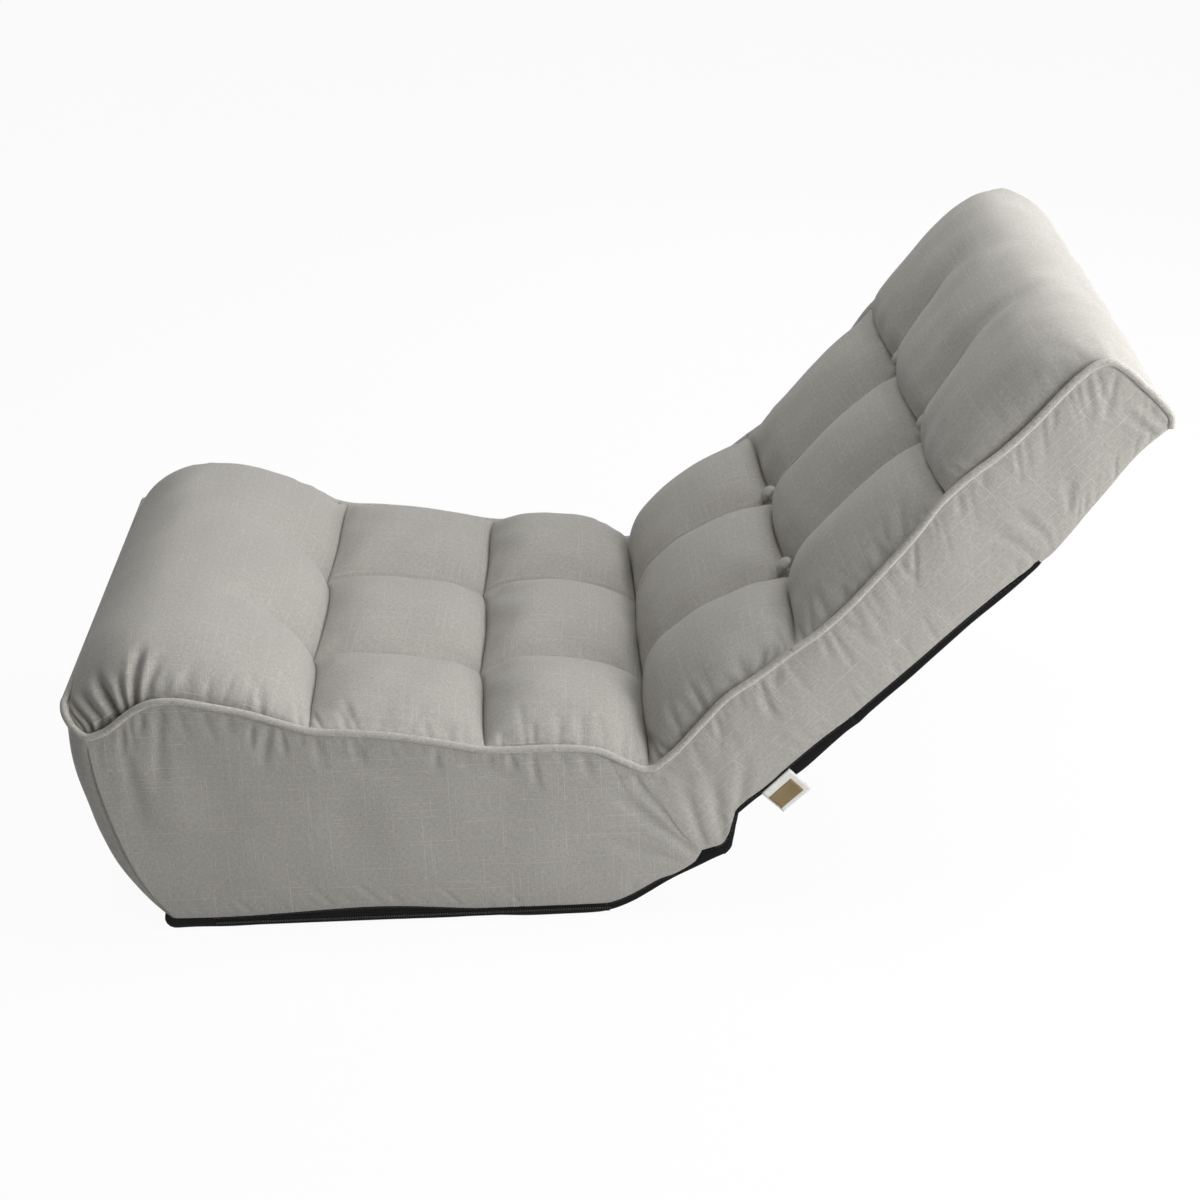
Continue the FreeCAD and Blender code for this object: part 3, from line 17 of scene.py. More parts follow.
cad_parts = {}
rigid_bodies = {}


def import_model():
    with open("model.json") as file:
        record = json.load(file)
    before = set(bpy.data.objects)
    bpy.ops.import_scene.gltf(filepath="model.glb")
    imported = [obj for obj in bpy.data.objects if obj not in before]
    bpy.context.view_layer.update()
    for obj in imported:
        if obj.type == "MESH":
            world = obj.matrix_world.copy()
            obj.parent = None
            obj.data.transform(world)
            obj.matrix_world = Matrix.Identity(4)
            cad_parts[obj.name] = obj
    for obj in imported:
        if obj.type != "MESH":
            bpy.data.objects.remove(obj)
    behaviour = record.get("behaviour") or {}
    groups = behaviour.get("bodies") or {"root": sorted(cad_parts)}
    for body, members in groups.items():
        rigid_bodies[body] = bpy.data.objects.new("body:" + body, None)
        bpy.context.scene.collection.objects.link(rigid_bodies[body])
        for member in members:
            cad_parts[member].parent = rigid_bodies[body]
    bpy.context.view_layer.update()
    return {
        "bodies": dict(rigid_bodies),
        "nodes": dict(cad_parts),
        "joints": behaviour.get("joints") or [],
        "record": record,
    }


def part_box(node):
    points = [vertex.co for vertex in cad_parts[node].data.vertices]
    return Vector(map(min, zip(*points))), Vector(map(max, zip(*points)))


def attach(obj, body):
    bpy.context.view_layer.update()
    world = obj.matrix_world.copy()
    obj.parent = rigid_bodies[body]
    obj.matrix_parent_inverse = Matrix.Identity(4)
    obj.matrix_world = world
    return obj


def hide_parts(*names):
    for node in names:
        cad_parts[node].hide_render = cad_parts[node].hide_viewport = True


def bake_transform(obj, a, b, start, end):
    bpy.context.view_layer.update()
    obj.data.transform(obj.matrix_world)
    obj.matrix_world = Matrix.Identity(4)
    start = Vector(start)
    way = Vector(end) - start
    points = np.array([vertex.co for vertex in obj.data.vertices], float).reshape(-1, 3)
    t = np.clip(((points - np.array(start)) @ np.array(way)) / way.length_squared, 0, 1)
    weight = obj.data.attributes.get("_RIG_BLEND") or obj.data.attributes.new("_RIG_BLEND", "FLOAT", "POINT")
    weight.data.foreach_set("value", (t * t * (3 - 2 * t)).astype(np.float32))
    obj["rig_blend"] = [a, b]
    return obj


LOG = logging.getLogger("floor_chair")
MM = 0.001


# Places that several pieces share, in the side view: y to the back, z up

HALF_FOAM = 264.0
HALF_WIDTH = 268.0
COLUMN_SEAM = 90.0
PIPING_RADIUS = 3.5
CLOTH = 3.0
TINY = 1e-9
SIDES = ((1, "left"), (-1, "right"))
WELD = 0.01
PIPING_OUT = HALF_WIDTH + 0.6
FRONT_LAP = 8.0
FRONT_RECESS = 9.0

FRONT_TOP = (-297.5, 242.0)
CORNER_SEAM_TOP = (-275.5, 222.0)
ROLL_SEAM = (-63.5, 220.0)
ROW_SEAM = (103.5, 192.0)
CREASE = (259.0, 163.0)
LUMBAR_SEAM = (396.0, 285.0)
NECK_SEAM = (533.4, 434.0)
HEAD_END = (736.8, 499.1)
# Each cross seam also has a middle height between two column seams, and lies deepest where it crosses them
ROLL_MIDDLE, ROLL_CROSSING = (-66.0, 218.0), (-77.5, 199.5)
ROW_MIDDLE, ROW_CROSSING = (99.0, 190.0), (93.0, 178.5)
CREASE_MIDDLE, CREASE_CROSSING = (260.0, 163.0), (261.5, 157.0)
LUMBAR_MIDDLE, LUMBAR_CROSSING = (405.0, 283.0), (415.0, 281.5)
NECK_MIDDLE, NECK_CROSSING = (544.0, 433.0), (553.0, 432.0)
SEAT_HINGE = (311.5, 95.0)
HEAD_HINGE = (613.9, 398.45)
BACK_ANGLE = 45.1
HEAD_ANGLE = 50.2

# Where the cushions end on the foam below them
CORE_TOP = 131.0
CREASE_BOTTOM = (287.0, 131.0)
LUMBAR_BOTTOM = (417.7, 253.9)
NECK_BOTTOM = (565.4, 402.2)

# The side piping, from the front corner of the seat to the end of the head
ROLL_RIM = ((-297.5, 229), (-287, 223), (-272, 221.5), (-256, 228), (-240, 240), (-226, 250), (-211, 256.5),
            (-190, 257.5), (-155, 250), (-121.5, 241), (-92, 230), ROLL_SEAM)
FRONT_ROW_RIM = (ROLL_SEAM, (-25, 216), (20, 210), (65, 200.5), ROW_SEAM)
REAR_ROW_RIM = (ROW_SEAM, (135, 191), (169.5, 191), (195, 189), (213.5, 185), (237.5, 171.5), CREASE)
LUMBAR_RIM = (CREASE, (279.5, 177), (308.5, 209), (335.5, 239), (364.5, 260), LUMBAR_SEAM)
UPPER_RIM = (LUMBAR_SEAM, (418, 301), (445.5, 326), (475.5, 360), (510.5, 402), NECK_SEAM)
HEAD_RIM = (NECK_SEAM, (556, 456), (584.5, 478.5), (612, 505), (636.5, 533), (655, 552), (669, 562),
            (680, 563.5), (691, 557.5), (710, 540), (729.5, 520), (737, 509), HEAD_END)

# The lower edge of the grey side panels, and the black lining's own edge below it
FRONT_FOOT = (-213.0, 15.0)
GUSSET_TOP = (309.0, 70.0)
LUMBAR_REAR = (452.0, 212.0)
LINING_SEAM = (462.0, 204.0)
SEAT_EDGE = (FRONT_FOOT, (-188, 14.5), (-149, 14.5), (-109, 16), (-70, 18), (-30, 19.5), (9, 19), (48, 16),
             (88, 12.5), (127, 9), (167, 8), (195, 9), (213, 12.5), (230, 18), (247, 27), (267, 39),
             (287, 46), (300, 55), GUSSET_TOP)
LUMBAR_EDGE = (GUSSET_TOP, (318, 73), (328, 76), (335.5, 86), (340.5, 104), (349, 121), (366, 134.5),
               (392, 160), (425, 190), LUMBAR_REAR)
UPPER_EDGE = (LUMBAR_REAR, (480, 238), (517, 272.5), (554, 308), (590, 340), (618, 362), (635, 375),
              (650, 393), (666, 415), (682, 436), (712, 475), (735, 496))


class Hinge(Enum):
    """The two folds that cloth crosses: bodies, then where the bend starts and ends."""

    LOW = ("seat", "back", (0, 0.184, 0.105), (0, 0.334, 0.221))
    HIGH = ("back", "head", (0, 0.497, 0.3516), (0, 0.5698, 0.5164))


# Lines and grids


def smooth_line(points, count: int = 200) -> np.ndarray:
    """A smooth line through points, evenly spaced along its length.

    Args:
        points: the places that it goes through, in order.
        count: how many points come back.

    Returns:
        The line's points, one a row.
    """
    given = np.asarray(points, float)
    at = np.concatenate([[0], np.cumsum(np.linalg.norm(np.diff(given, axis=0), axis=1))])
    slope = np.gradient(given, at, axis=0)
    fine = np.linspace(0, at[-1], 24 * len(given))
    i = np.clip(np.searchsorted(at, fine, side="right") - 1, 0, len(at) - 2)
    span = (at[i + 1] - at[i])[:, None]
    u = (fine - at[i])[:, None] / span
    curve = (
        (2 * u**3 - 3 * u**2 + 1) * given[i]
        + (u**3 - 2 * u**2 + u) * span * slope[i]
        + (3 * u**2 - 2 * u**3) * given[i + 1]
        + (u**3 - u**2) * span * slope[i + 1]
    )
    return along_line(curve, np.linspace(0, 1, count))


def along_line(line: np.ndarray, shares: np.ndarray) -> np.ndarray:
    """The points of a line at these shares of its length."""
    at = np.concatenate([[0], np.cumsum(np.linalg.norm(np.diff(line, axis=0), axis=1))])
    want = np.asarray(shares) * at[-1]
    return np.stack([np.interp(want, at, line[:, k]) for k in range(line.shape[1])], axis=1)


def crowded(count: int, crowd: float = 0.55) -> np.ndarray:
    """Shares from 0 to 1 that stand closer together near both ends."""
    even = np.linspace(0, 1, count)
    return (1 - crowd) * even + crowd * (0.5 - 0.5 * np.cos(np.pi * even))


def ramp(value: np.ndarray, start: float, end: float) -> np.ndarray:
    """0 before start, 1 after end and smooth between, also where start is the larger."""
    t = np.clip((np.asarray(value, float) - start) / (end - start), 0, 1)
    return t * t * (3 - 2 * t)


def pillow_line(start, end, rise: float, shares: np.ndarray, flat: float = 2.6, sharp: float = 0.5):
    """A line that rises like a pillow between two seams.

    Args:
        start: the first seam's place.
        end: the second seam's place.
        rise: how far its middle stands above the straight line between the seams.
        shares: the places along it that come back, from 0 to 1.
        flat: a larger number makes a flatter top.
        sharp: a smaller number makes steeper ends.

    Returns:
        The line's points.
    """
    a, b = np.asarray(start, float), np.asarray(end, float)
    chord = b - a
    normal = np.array([-chord[1], chord[0]]) / np.linalg.norm(chord)
    from_middle = np.abs(2 * shares - 1)
    height = rise * (1 - from_middle**flat) ** sharp
    return a + chord * shares[:, None] + normal * height[:, None]


def coons(top: np.ndarray, bottom: np.ndarray, left: np.ndarray, right: np.ndarray) -> np.ndarray:
    """The grid that fills four edge lines; top and bottom have one count, left and right another."""
    v = np.linspace(0, 1, len(left))[:, None, None]
    u = np.linspace(0, 1, len(top))[None, :, None]
    ruled = (1 - v) * top[None] + v * bottom[None] + (1 - u) * left[:, None] + u * right[:, None]
    corners = (
        (1 - u) * (1 - v) * top[0] + u * (1 - v) * top[-1] + (1 - u) * v * bottom[0] + u * v * bottom[-1]
    )
    return ruled - corners


def normals(grid: np.ndarray) -> np.ndarray:
    """The unit normals of a grid, on the side that looks against its columns' and rows' turn."""
    across, down = np.gradient(grid, axis=1), np.gradient(grid, axis=0)
    n = np.cross(across, down)
    return n / np.maximum(np.linalg.norm(n, axis=2, keepdims=True), TINY)


def arc_lengths(grid: np.ndarray, axis: int) -> np.ndarray:
    """How far each point of a grid is along its line, in millimetres."""
    steps = np.linalg.norm(np.diff(grid, axis=axis), axis=2)
    start = np.zeros_like(np.take(steps, [0], axis=axis))
    return np.concatenate([start, np.cumsum(steps, axis=axis)], axis=axis)


def to_nearer_end(length: np.ndarray) -> np.ndarray:
    """How far each point of a grid is from the nearer end of its column."""
    return np.minimum(length, length[-1:] - length)


def with_x(x: np.ndarray, side: np.ndarray) -> np.ndarray:
    """A grid in space, from one x for each column and a place in the side view for each point."""
    return np.concatenate([np.broadcast_to(x[None, :, None], (*side.shape[:2], 1)), side], axis=2)


# Meshes


def out_of_square(points: np.ndarray) -> np.ndarray:
    """The sewn front isn't quite square to the sides: it recedes towards the right corner."""
    moved = np.array(points, float)
    half = FRONT_RECESS / 2
    moved[:, 1] += (half - half * moved[:, 0] / HALF_WIDTH) * ramp(moved[:, 1], -180, -280)
    return moved


def linked(name: str, data) -> bpy.types.Object:
    """A new object that holds this data, in the scene."""
    made = bpy.data.objects.new(name, data)
    bpy.context.scene.collection.objects.link(made)
    return made


def make_object(name: str, points: np.ndarray, faces: list, uvs: np.ndarray) -> bpy.types.Object:
    """A mesh object at the origin.

    Args:
        name: the object's name.
        points: its points in millimetres.
        faces: its faces, each a list of point numbers.
        uvs: one place on the cloth for each point, in metres.

    Returns:
        The object, linked to the scene.
    """
    mesh = bpy.data.meshes.new(name)
    mesh.from_pydata((out_of_square(points) * MM).tolist(), [], faces)
    corner = np.zeros(len(mesh.loops), np.int32)
    mesh.loops.foreach_get("vertex_index", corner)
    layer = mesh.uv_layers.new(name="Weave")
    layer.data.foreach_set("uv", np.asarray(uvs, np.float32)[corner].ravel())
    mesh.shade_smooth()
    return linked(name, mesh)


def outward(points: np.ndarray, faces: list) -> list:
    """The faces of a closed form, turned over where they look inwards; caps with many corners don't count."""
    quads = np.array([f if len(f) == 4 else (*f, f[0]) for f in faces if len(f) <= 4])
    a, b, c, d = (points[quads[:, k]] for k in range(4))
    volume = (a * np.cross(b, c)).sum() + (a * np.cross(c, d)).sum()
    return [f[::-1] for f in faces] if volume < 0 else faces


@dataclass
class Pad:
    """A closed form between a shown grid and a hidden one.

    Its point numbers start with the shown grid, row by row, so that seams can be found again.
    """

    name: str
    outer: np.ndarray
    inner: np.ndarray
    weave: np.ndarray
    rings: tuple = (0.04, 0.15, 0.5)
    press: float = 0.0
    crisp: bool = False

    def border(self) -> list:
        """The point numbers round the shown grid's edge, in order."""
        rows, cols = self.outer.shape[:2]
        index = np.arange(rows * cols).reshape(rows, cols)
        return [*index[0, :-1], *index[:-1, -1], *index[-1, :0:-1], *index[:0:-1, 0]]

    def pressed(self, edge: list) -> np.ndarray:
        """How the wall under the edge bulges towards its neighbour."""
        rows, cols = self.outer.shape[:2]
        index = np.arange(rows * cols).reshape(rows, cols)
        inside = [*index[1, :-1], *index[:-1, -2], *index[-2, :0:-1], *index[:0:-1, 1]]
        outer = self.outer.reshape(-1, 3)
        out = outer[edge] - outer[inside]
        return self.press * out / np.maximum(np.linalg.norm(out, axis=1, keepdims=True), TINY)

    def keep_edge(self, made: bpy.types.Object, edge: list) -> None:
        """Marks the shown grid's edge, so that smoothing doesn't round it."""
        ends = np.zeros(len(made.data.edges) * 2, np.int32)
        made.data.edges.foreach_get("vertices", ends)
        ends = np.sort(ends.reshape(-1, 2), axis=1)
        size = len(made.data.vertices)
        wanted = np.sort(np.stack([edge, np.roll(edge, -1)], axis=1), axis=1)
        found = np.isin(ends[:, 0] * size + ends[:, 1], wanted[:, 0] * size + wanted[:, 1])
        layers = made.data.attributes
        layers.new("crease_edge", "FLOAT", "EDGE").data.foreach_set("value", found.astype(np.float32))
        layers.new("sharp_edge", "BOOLEAN", "EDGE").data.foreach_set("value", found)

    def build(self) -> bpy.types.Object:
        """Makes the closed mesh.

        Returns:
            The object, without a material.
        """
        rows, cols = self.outer.shape[:2]
        size = rows * cols
        outer, inner = self.outer.reshape(-1, 3), self.inner.reshape(-1, 3)
        index = np.arange(size).reshape(rows, cols)
        cells = np.stack([index[:-1, :-1], index[:-1, 1:], index[1:, 1:], index[1:, :-1]], axis=2)
        cells = cells.reshape(-1, 4)
        faces = cells.tolist() + (cells[:, ::-1] + size).tolist()
        edge = self.border()
        weave = self.weave.reshape(-1, 2)
        points, uvs = [outer, inner], [weave, weave]
        previous = edge
        count = 2 * size
        outward_uv = weave[edge] - weave.mean(axis=0)
        outward_uv /= np.linalg.norm(outward_uv, axis=1, keepdims=True)
        depth = np.linalg.norm(inner[edge] - outer[edge], axis=1, keepdims=True)
        for share in (*self.rings, None):
            if share is None:
                current = [e + size for e in edge]
            else:
                points.append(outer[edge] + (inner[edge] - outer[edge]) * share + self.pressed(edge))
                uvs.append(weave[edge] + outward_uv * (depth * share * MM))
                current = list(range(count, count + len(edge)))
                count += len(edge)
            for k in range(len(edge)):
                after = (k + 1) % len(edge)
                faces.append([int(previous[after]), int(previous[k]), int(current[k]), int(current[after])])
            previous = current
        together = np.concatenate(points)
        made = make_object(self.name, together, outward(together, faces), np.concatenate(uvs))
        if self.crisp:
            self.keep_edge(made, edge)
        return made


def tube(name: str, path: np.ndarray, radius: float, sides: int = 12) -> bpy.types.Object:
    """A round cord cover along a path, closed at both ends.

    Args:
        name: the object's name.
        path: points along its middle, in millimetres.
        radius: its radius.
        sides: faces round it.

    Returns:
        The object; its weave runs along it, then round it.
    """
    run = np.gradient(path, axis=0)
    run /= np.linalg.norm(run, axis=1, keepdims=True)
    side = np.zeros_like(path)
    start = np.cross(run[0], [0.3, 0.2, 1.0])
    side[0] = start / np.linalg.norm(start)
    for i in range(1, len(path)):
        s = side[i - 1] - run[i] * (side[i - 1] @ run[i])
        side[i] = s / np.linalg.norm(s)
    other = np.cross(run, side)
    angle = np.linspace(0, 2 * np.pi, sides, endpoint=False)
    ring = np.cos(angle)[None, :, None] * side[:, None] + np.sin(angle)[None, :, None] * other[:, None]
    points = (path[:, None] + radius * ring).reshape(-1, 3)
    length = arc_lengths(path[None], 1)[0]
    uvs = np.stack(np.broadcast_arrays(length[:, None], radius * angle[None]), axis=2).reshape(-1, 2) * MM
    faces = []
    for i in range(len(path) - 1):
        for k in range(sides):
            a, b = i * sides + k, i * sides + (k + 1) % sides
            faces.append([a, b, b + sides, a + sides])
    last = len(points)
    points = np.concatenate([points, path[:1], path[-1:]])
    uvs = np.concatenate([uvs, uvs[:1], uvs[-1:]])
    end = (len(path) - 1) * sides
    for k in range(sides):
        faces.append([k, last, (k + 1) % sides])
        faces.append([end + (k + 1) % sides, last + 1, end + k])
    return make_object(name, points, outward(points, faces), uvs)


def points_of(made: bpy.types.Object) -> np.ndarray:
    """An object's own points, in millimetres."""
    co = np.zeros(len(made.data.vertices) * 3, np.float32)
    made.data.vertices.foreach_get("co", co)
    return co.reshape(-1, 3).astype(float) / MM


def bake(made: bpy.types.Object) -> bpy.types.Object:
    """Turns what an object's modifiers give into its own plain mesh, and removes them."""
    shown = made.evaluated_get(bpy.context.evaluated_depsgraph_get())
    mesh = bpy.data.meshes.new_from_object(shown)
    old = made.data
    made.modifiers.clear()
    made.data = mesh
    bpy.data.meshes.remove(old)
    mesh.name = made.name
    mesh.shade_smooth()
    return made


def weld(made: bpy.types.Object) -> None:
    """Merges a packed copy's doubled points and shows its faces flat."""
    step = made.modifiers.new("Weld", "WELD")
    step.merge_threshold = WELD * MM
    bake(made)
    made.data.shade_flat()


def subdivide(made: bpy.types.Object) -> bpy.types.Object:
    """One level of subdivision, as plain mesh. The first point numbers stay as they were."""
    step = made.modifiers.new("Smooth", "SUBSURF")
    step.levels = step.render_levels = 1
    return bake(made)


def evened(made: bpy.types.Object, moved: np.ndarray, rounds: int) -> np.ndarray:
    """Evens out a movement between neighbouring points, as tight cloth does with its shortest wrinkles.

    Args:
        made: the mesh whose edges join neighbours.
        moved: how far each point moves.
        rounds: how many times neighbours are averaged.

    Returns:
        The evened movement.
    """
    ends = np.zeros(len(made.data.edges) * 2, np.int32)
    made.data.edges.foreach_get("vertices", ends)
    first, second = ends.reshape(-1, 2).T
    count = np.bincount(ends, minlength=len(moved))[:, None]
    for _ in range(rounds):
        total = np.zeros_like(moved)
        np.add.at(total, first, moved[second])
        np.add.at(total, second, moved[first])
        moved = 0.5 * moved + 0.5 * total / count
    return moved


@dataclass(frozen=True)
class Filling:
    """How wadding pushes a cover out: cloth simulation under pressure, held at its seams."""

    pressure: float = 4.0
    cap_mm: float = 6.0
    slack: float = 0.03
    frames: int = 20
    evening: int = 14

    def swell(self, made: bpy.types.Object, held: np.ndarray) -> None:
        """Runs the cloth and keeps its result in the object's mesh.

        Args:
            made: a closed mesh.
            held: for each point, 1 where a seam or the foam holds it and 0 where it is free.
        """
        rest = points_of(made)
        group = made.vertex_groups.new(name="held")
        for weight in np.unique(held.round(2)):
            group.add(np.flatnonzero(held.round(2) == weight).tolist(), float(weight), "REPLACE")
        cloth = made.modifiers.new("Cloth", "CLOTH")
        cloth.collision_settings.use_collision = False
        settings = cloth.settings
        settings.quality = 4
        settings.mass = 0.25
        settings.tension_stiffness = 18
        settings.compression_stiffness = 12
        settings.shear_stiffness = 6
        settings.bending_stiffness = 0.6
        settings.use_pressure = True
        settings.uniform_pressure_force = self.pressure
        settings.shrink_min = -self.slack
        settings.effector_weights.gravity = 0
        settings.vertex_group_mass = "held"
        settings.pin_stiffness = 4
        scene = bpy.context.scene
        scene.frame_start, scene.frame_end = 1, self.frames
        for frame in range(1, self.frames + 1):
            scene.frame_set(frame)
        bake(made)
        scene.frame_set(1)
        moved = evened(made, points_of(made) - rest, self.evening)
        size = np.linalg.norm(moved, axis=1, keepdims=True)
        share = np.minimum(1, self.cap_mm * np.tanh(size / self.cap_mm) / np.maximum(size, TINY))
        capped = moved * share
        capped *= (1 - held)[:, None]
        made.data.vertices.foreach_set("co", ((rest + capped) * MM).astype(np.float32).ravel())
        made.vertex_groups.clear()
        LOG.info("%s swelled by %.1f mm at most", made.name, float(np.linalg.norm(capped, axis=1).max()))


# Folds in cloth


@dataclass(frozen=True)
class Fold:
    """One fold of cloth: a valley with a low ridge on each side, from a place to another."""

    start: tuple
    end: tuple
    width: float
    depth: float

    def height(self, u: np.ndarray, v: np.ndarray) -> np.ndarray:
        """How far the fold moves each point outwards, in millimetres.

        Args:
            u: the points' first coordinate on the cloth.
            v: their second.

        Returns:
            The heights, negative in the valley.
        """
        a, b = np.array(self.start, float), np.array(self.end, float)
        run = b - a
        length = np.linalg.norm(run)
        run /= length
        along = (u - a[0]) * run[0] + (v - a[1]) * run[1]
        off = (v - a[1]) * run[0] - (u - a[0]) * run[1]
        width = self.width * (0.6 + 0.8 * np.clip(along / length, 0, 1))
        q = (off / width) ** 2
        ends = ramp(along, -0.12 * length, 0.1 * length) * ramp(along, 1.15 * length, 0.55 * length)
        return -self.depth * (1 - 1.1 * q) * np.exp(-q) * ends


@dataclass(frozen=True)
class Puckers:
    """Many short folds at a seam that gathers the cloth a little."""

    seed: int
    spacing: float = 15
    reach: float = 35
    depth: float = 2.0
    width: float = 4.4

    def folds(self, start: float, end: float) -> list:
        """The folds along a seam from start to end; the seam lies at v = 0."""
        chance = np.random.default_rng(self.seed)
        found, at = [], start + chance.uniform(2, self.spacing)
        while at < end - 3:
            reach = self.reach * chance.uniform(0.45, 1.5)
            lean = chance.normal(0, 0.22) * reach
            found.append(Fold((at, 0), (at + lean, reach), self.width * chance.uniform(0.7, 1.5),
                              self.depth * chance.uniform(0.25, 1.35)))
            at += self.spacing * chance.uniform(0.45, 1.6)
        return found

    def height(self, u: np.ndarray, v: np.ndarray, start: float, end: float) -> np.ndarray:
        """The heights of all its folds, as Fold.height gives them."""
        total = np.zeros_like(u)
        for fold in self.folds(start, end):
            total += fold.height(u, v)
        return total


def soft_waves(u: np.ndarray, v: np.ndarray, seed: int, size: float, wave: float = 70) -> np.ndarray:
    """Slow unevenness of stuffed cloth.

    Args:
        u: the points' first coordinate, in millimetres.
        v: their second.
        seed: which pattern.
        size: about how far the highest point moves.
        wave: about how far apart the bumps are.

    Returns:
        A height for each point.
    """
    chance = np.random.default_rng(seed)
    total = np.zeros_like(u)
    for _ in range(7):
        turn = chance.uniform(0, 2 * np.pi)
        k = 2 * np.pi / (wave * chance.uniform(0.6, 1.7))
        total += np.sin(k * (u * np.cos(turn) + v * np.sin(turn)) + chance.uniform(0, 2 * np.pi))
    return total * size / 3.5


# Finishes


def linear(code: str) -> tuple:
    """An sRGB hex colour as linear red, green, blue and alpha."""
    parts = [int(code[i : i + 2], 16) / 255 for i in (1, 3, 5)]
    return (*(p / 12.92 if p <= 0.04045 else ((p + 0.055) / 1.055) ** 2.4 for p in parts), 1.0)


def feed(node: bpy.types.Node, inputs: dict) -> None:
    """Sets a node's inputs, by name or number, to values or to other nodes' outputs."""
    for key, value in inputs.items():
        if isinstance(value, bpy.types.NodeSocket):
            node.id_data.links.new(value, node.inputs[key])
        else:
            node.inputs[key].default_value = value


def add(tree: bpy.types.NodeTree, kind: str, inputs: dict = None, **settings) -> bpy.types.Node:
    """Adds one node.

    Args:
        tree: the tree that it goes into.
        kind: its type's name.
        inputs: a value or another node's output for each input, by name or number.
        settings: the node's own settings.

    Returns:
        The node.
    """
    made = tree.nodes.new(kind)
    for key, value in settings.items():
        setattr(made, key, value)
    feed(made, inputs or {})
    return made


def maths(tree: bpy.types.NodeTree, operation: str, *values, clamp: bool = False):
    """The output of one Math node on values or other nodes' outputs."""
    inputs = dict(enumerate(values))
    return add(tree, "ShaderNodeMath", inputs, operation=operation, use_clamp=clamp).outputs[0]


def share_of(tree: bpy.types.NodeTree, value, low: float, high: float):
    """Where a value lies between low and high, from 0 to 1."""
    return add(tree, "ShaderNodeMapRange", {"Value": value, "From Min": low, "From Max": high}).outputs[0]


def noise(tree: bpy.types.NodeTree, place, scale: float, detail: float, space: str = "3D", **more):
    """The strength of noise at a place, from 0 to 1; more names further inputs."""
    inputs = {"Vector": place, "Scale": scale, "Detail": detail, **more}
    return add(tree, "ShaderNodeTexNoise", inputs, noise_dimensions=space).outputs["Fac"]


def mixed(tree: bpy.types.NodeTree, share, first, second):
    """The colour between two, by a share from 0 to 1."""
    inputs = {"Factor": share, "A": first, "B": second}
    return add(tree, "ShaderNodeMix", inputs, data_type="RGBA").outputs["Result"]


def bumped(tree: bpy.types.NodeTree, height, strength: float, distance_mm: float):
    """The normal that a height gives."""
    inputs = {"Height": height, "Strength": strength, "Distance": distance_mm * MM}
    return add(tree, "ShaderNodeBump", inputs).outputs["Normal"]


def emptied(data) -> bpy.types.NodeTree:
    """The node tree of a material or world, with nothing in it."""
    data.use_nodes = True
    data.node_tree.nodes.clear()
    return data.node_tree


def new_material(name: str) -> tuple:
    """An empty material, its tree, and its Principled shader already linked to the output."""
    made = bpy.data.materials.new(name)
    tree = emptied(made)
    shader = add(tree, "ShaderNodeBsdfPrincipled")
    add(tree, "ShaderNodeOutputMaterial", {"Surface": shader.outputs["BSDF"]})
    return made, tree, shader


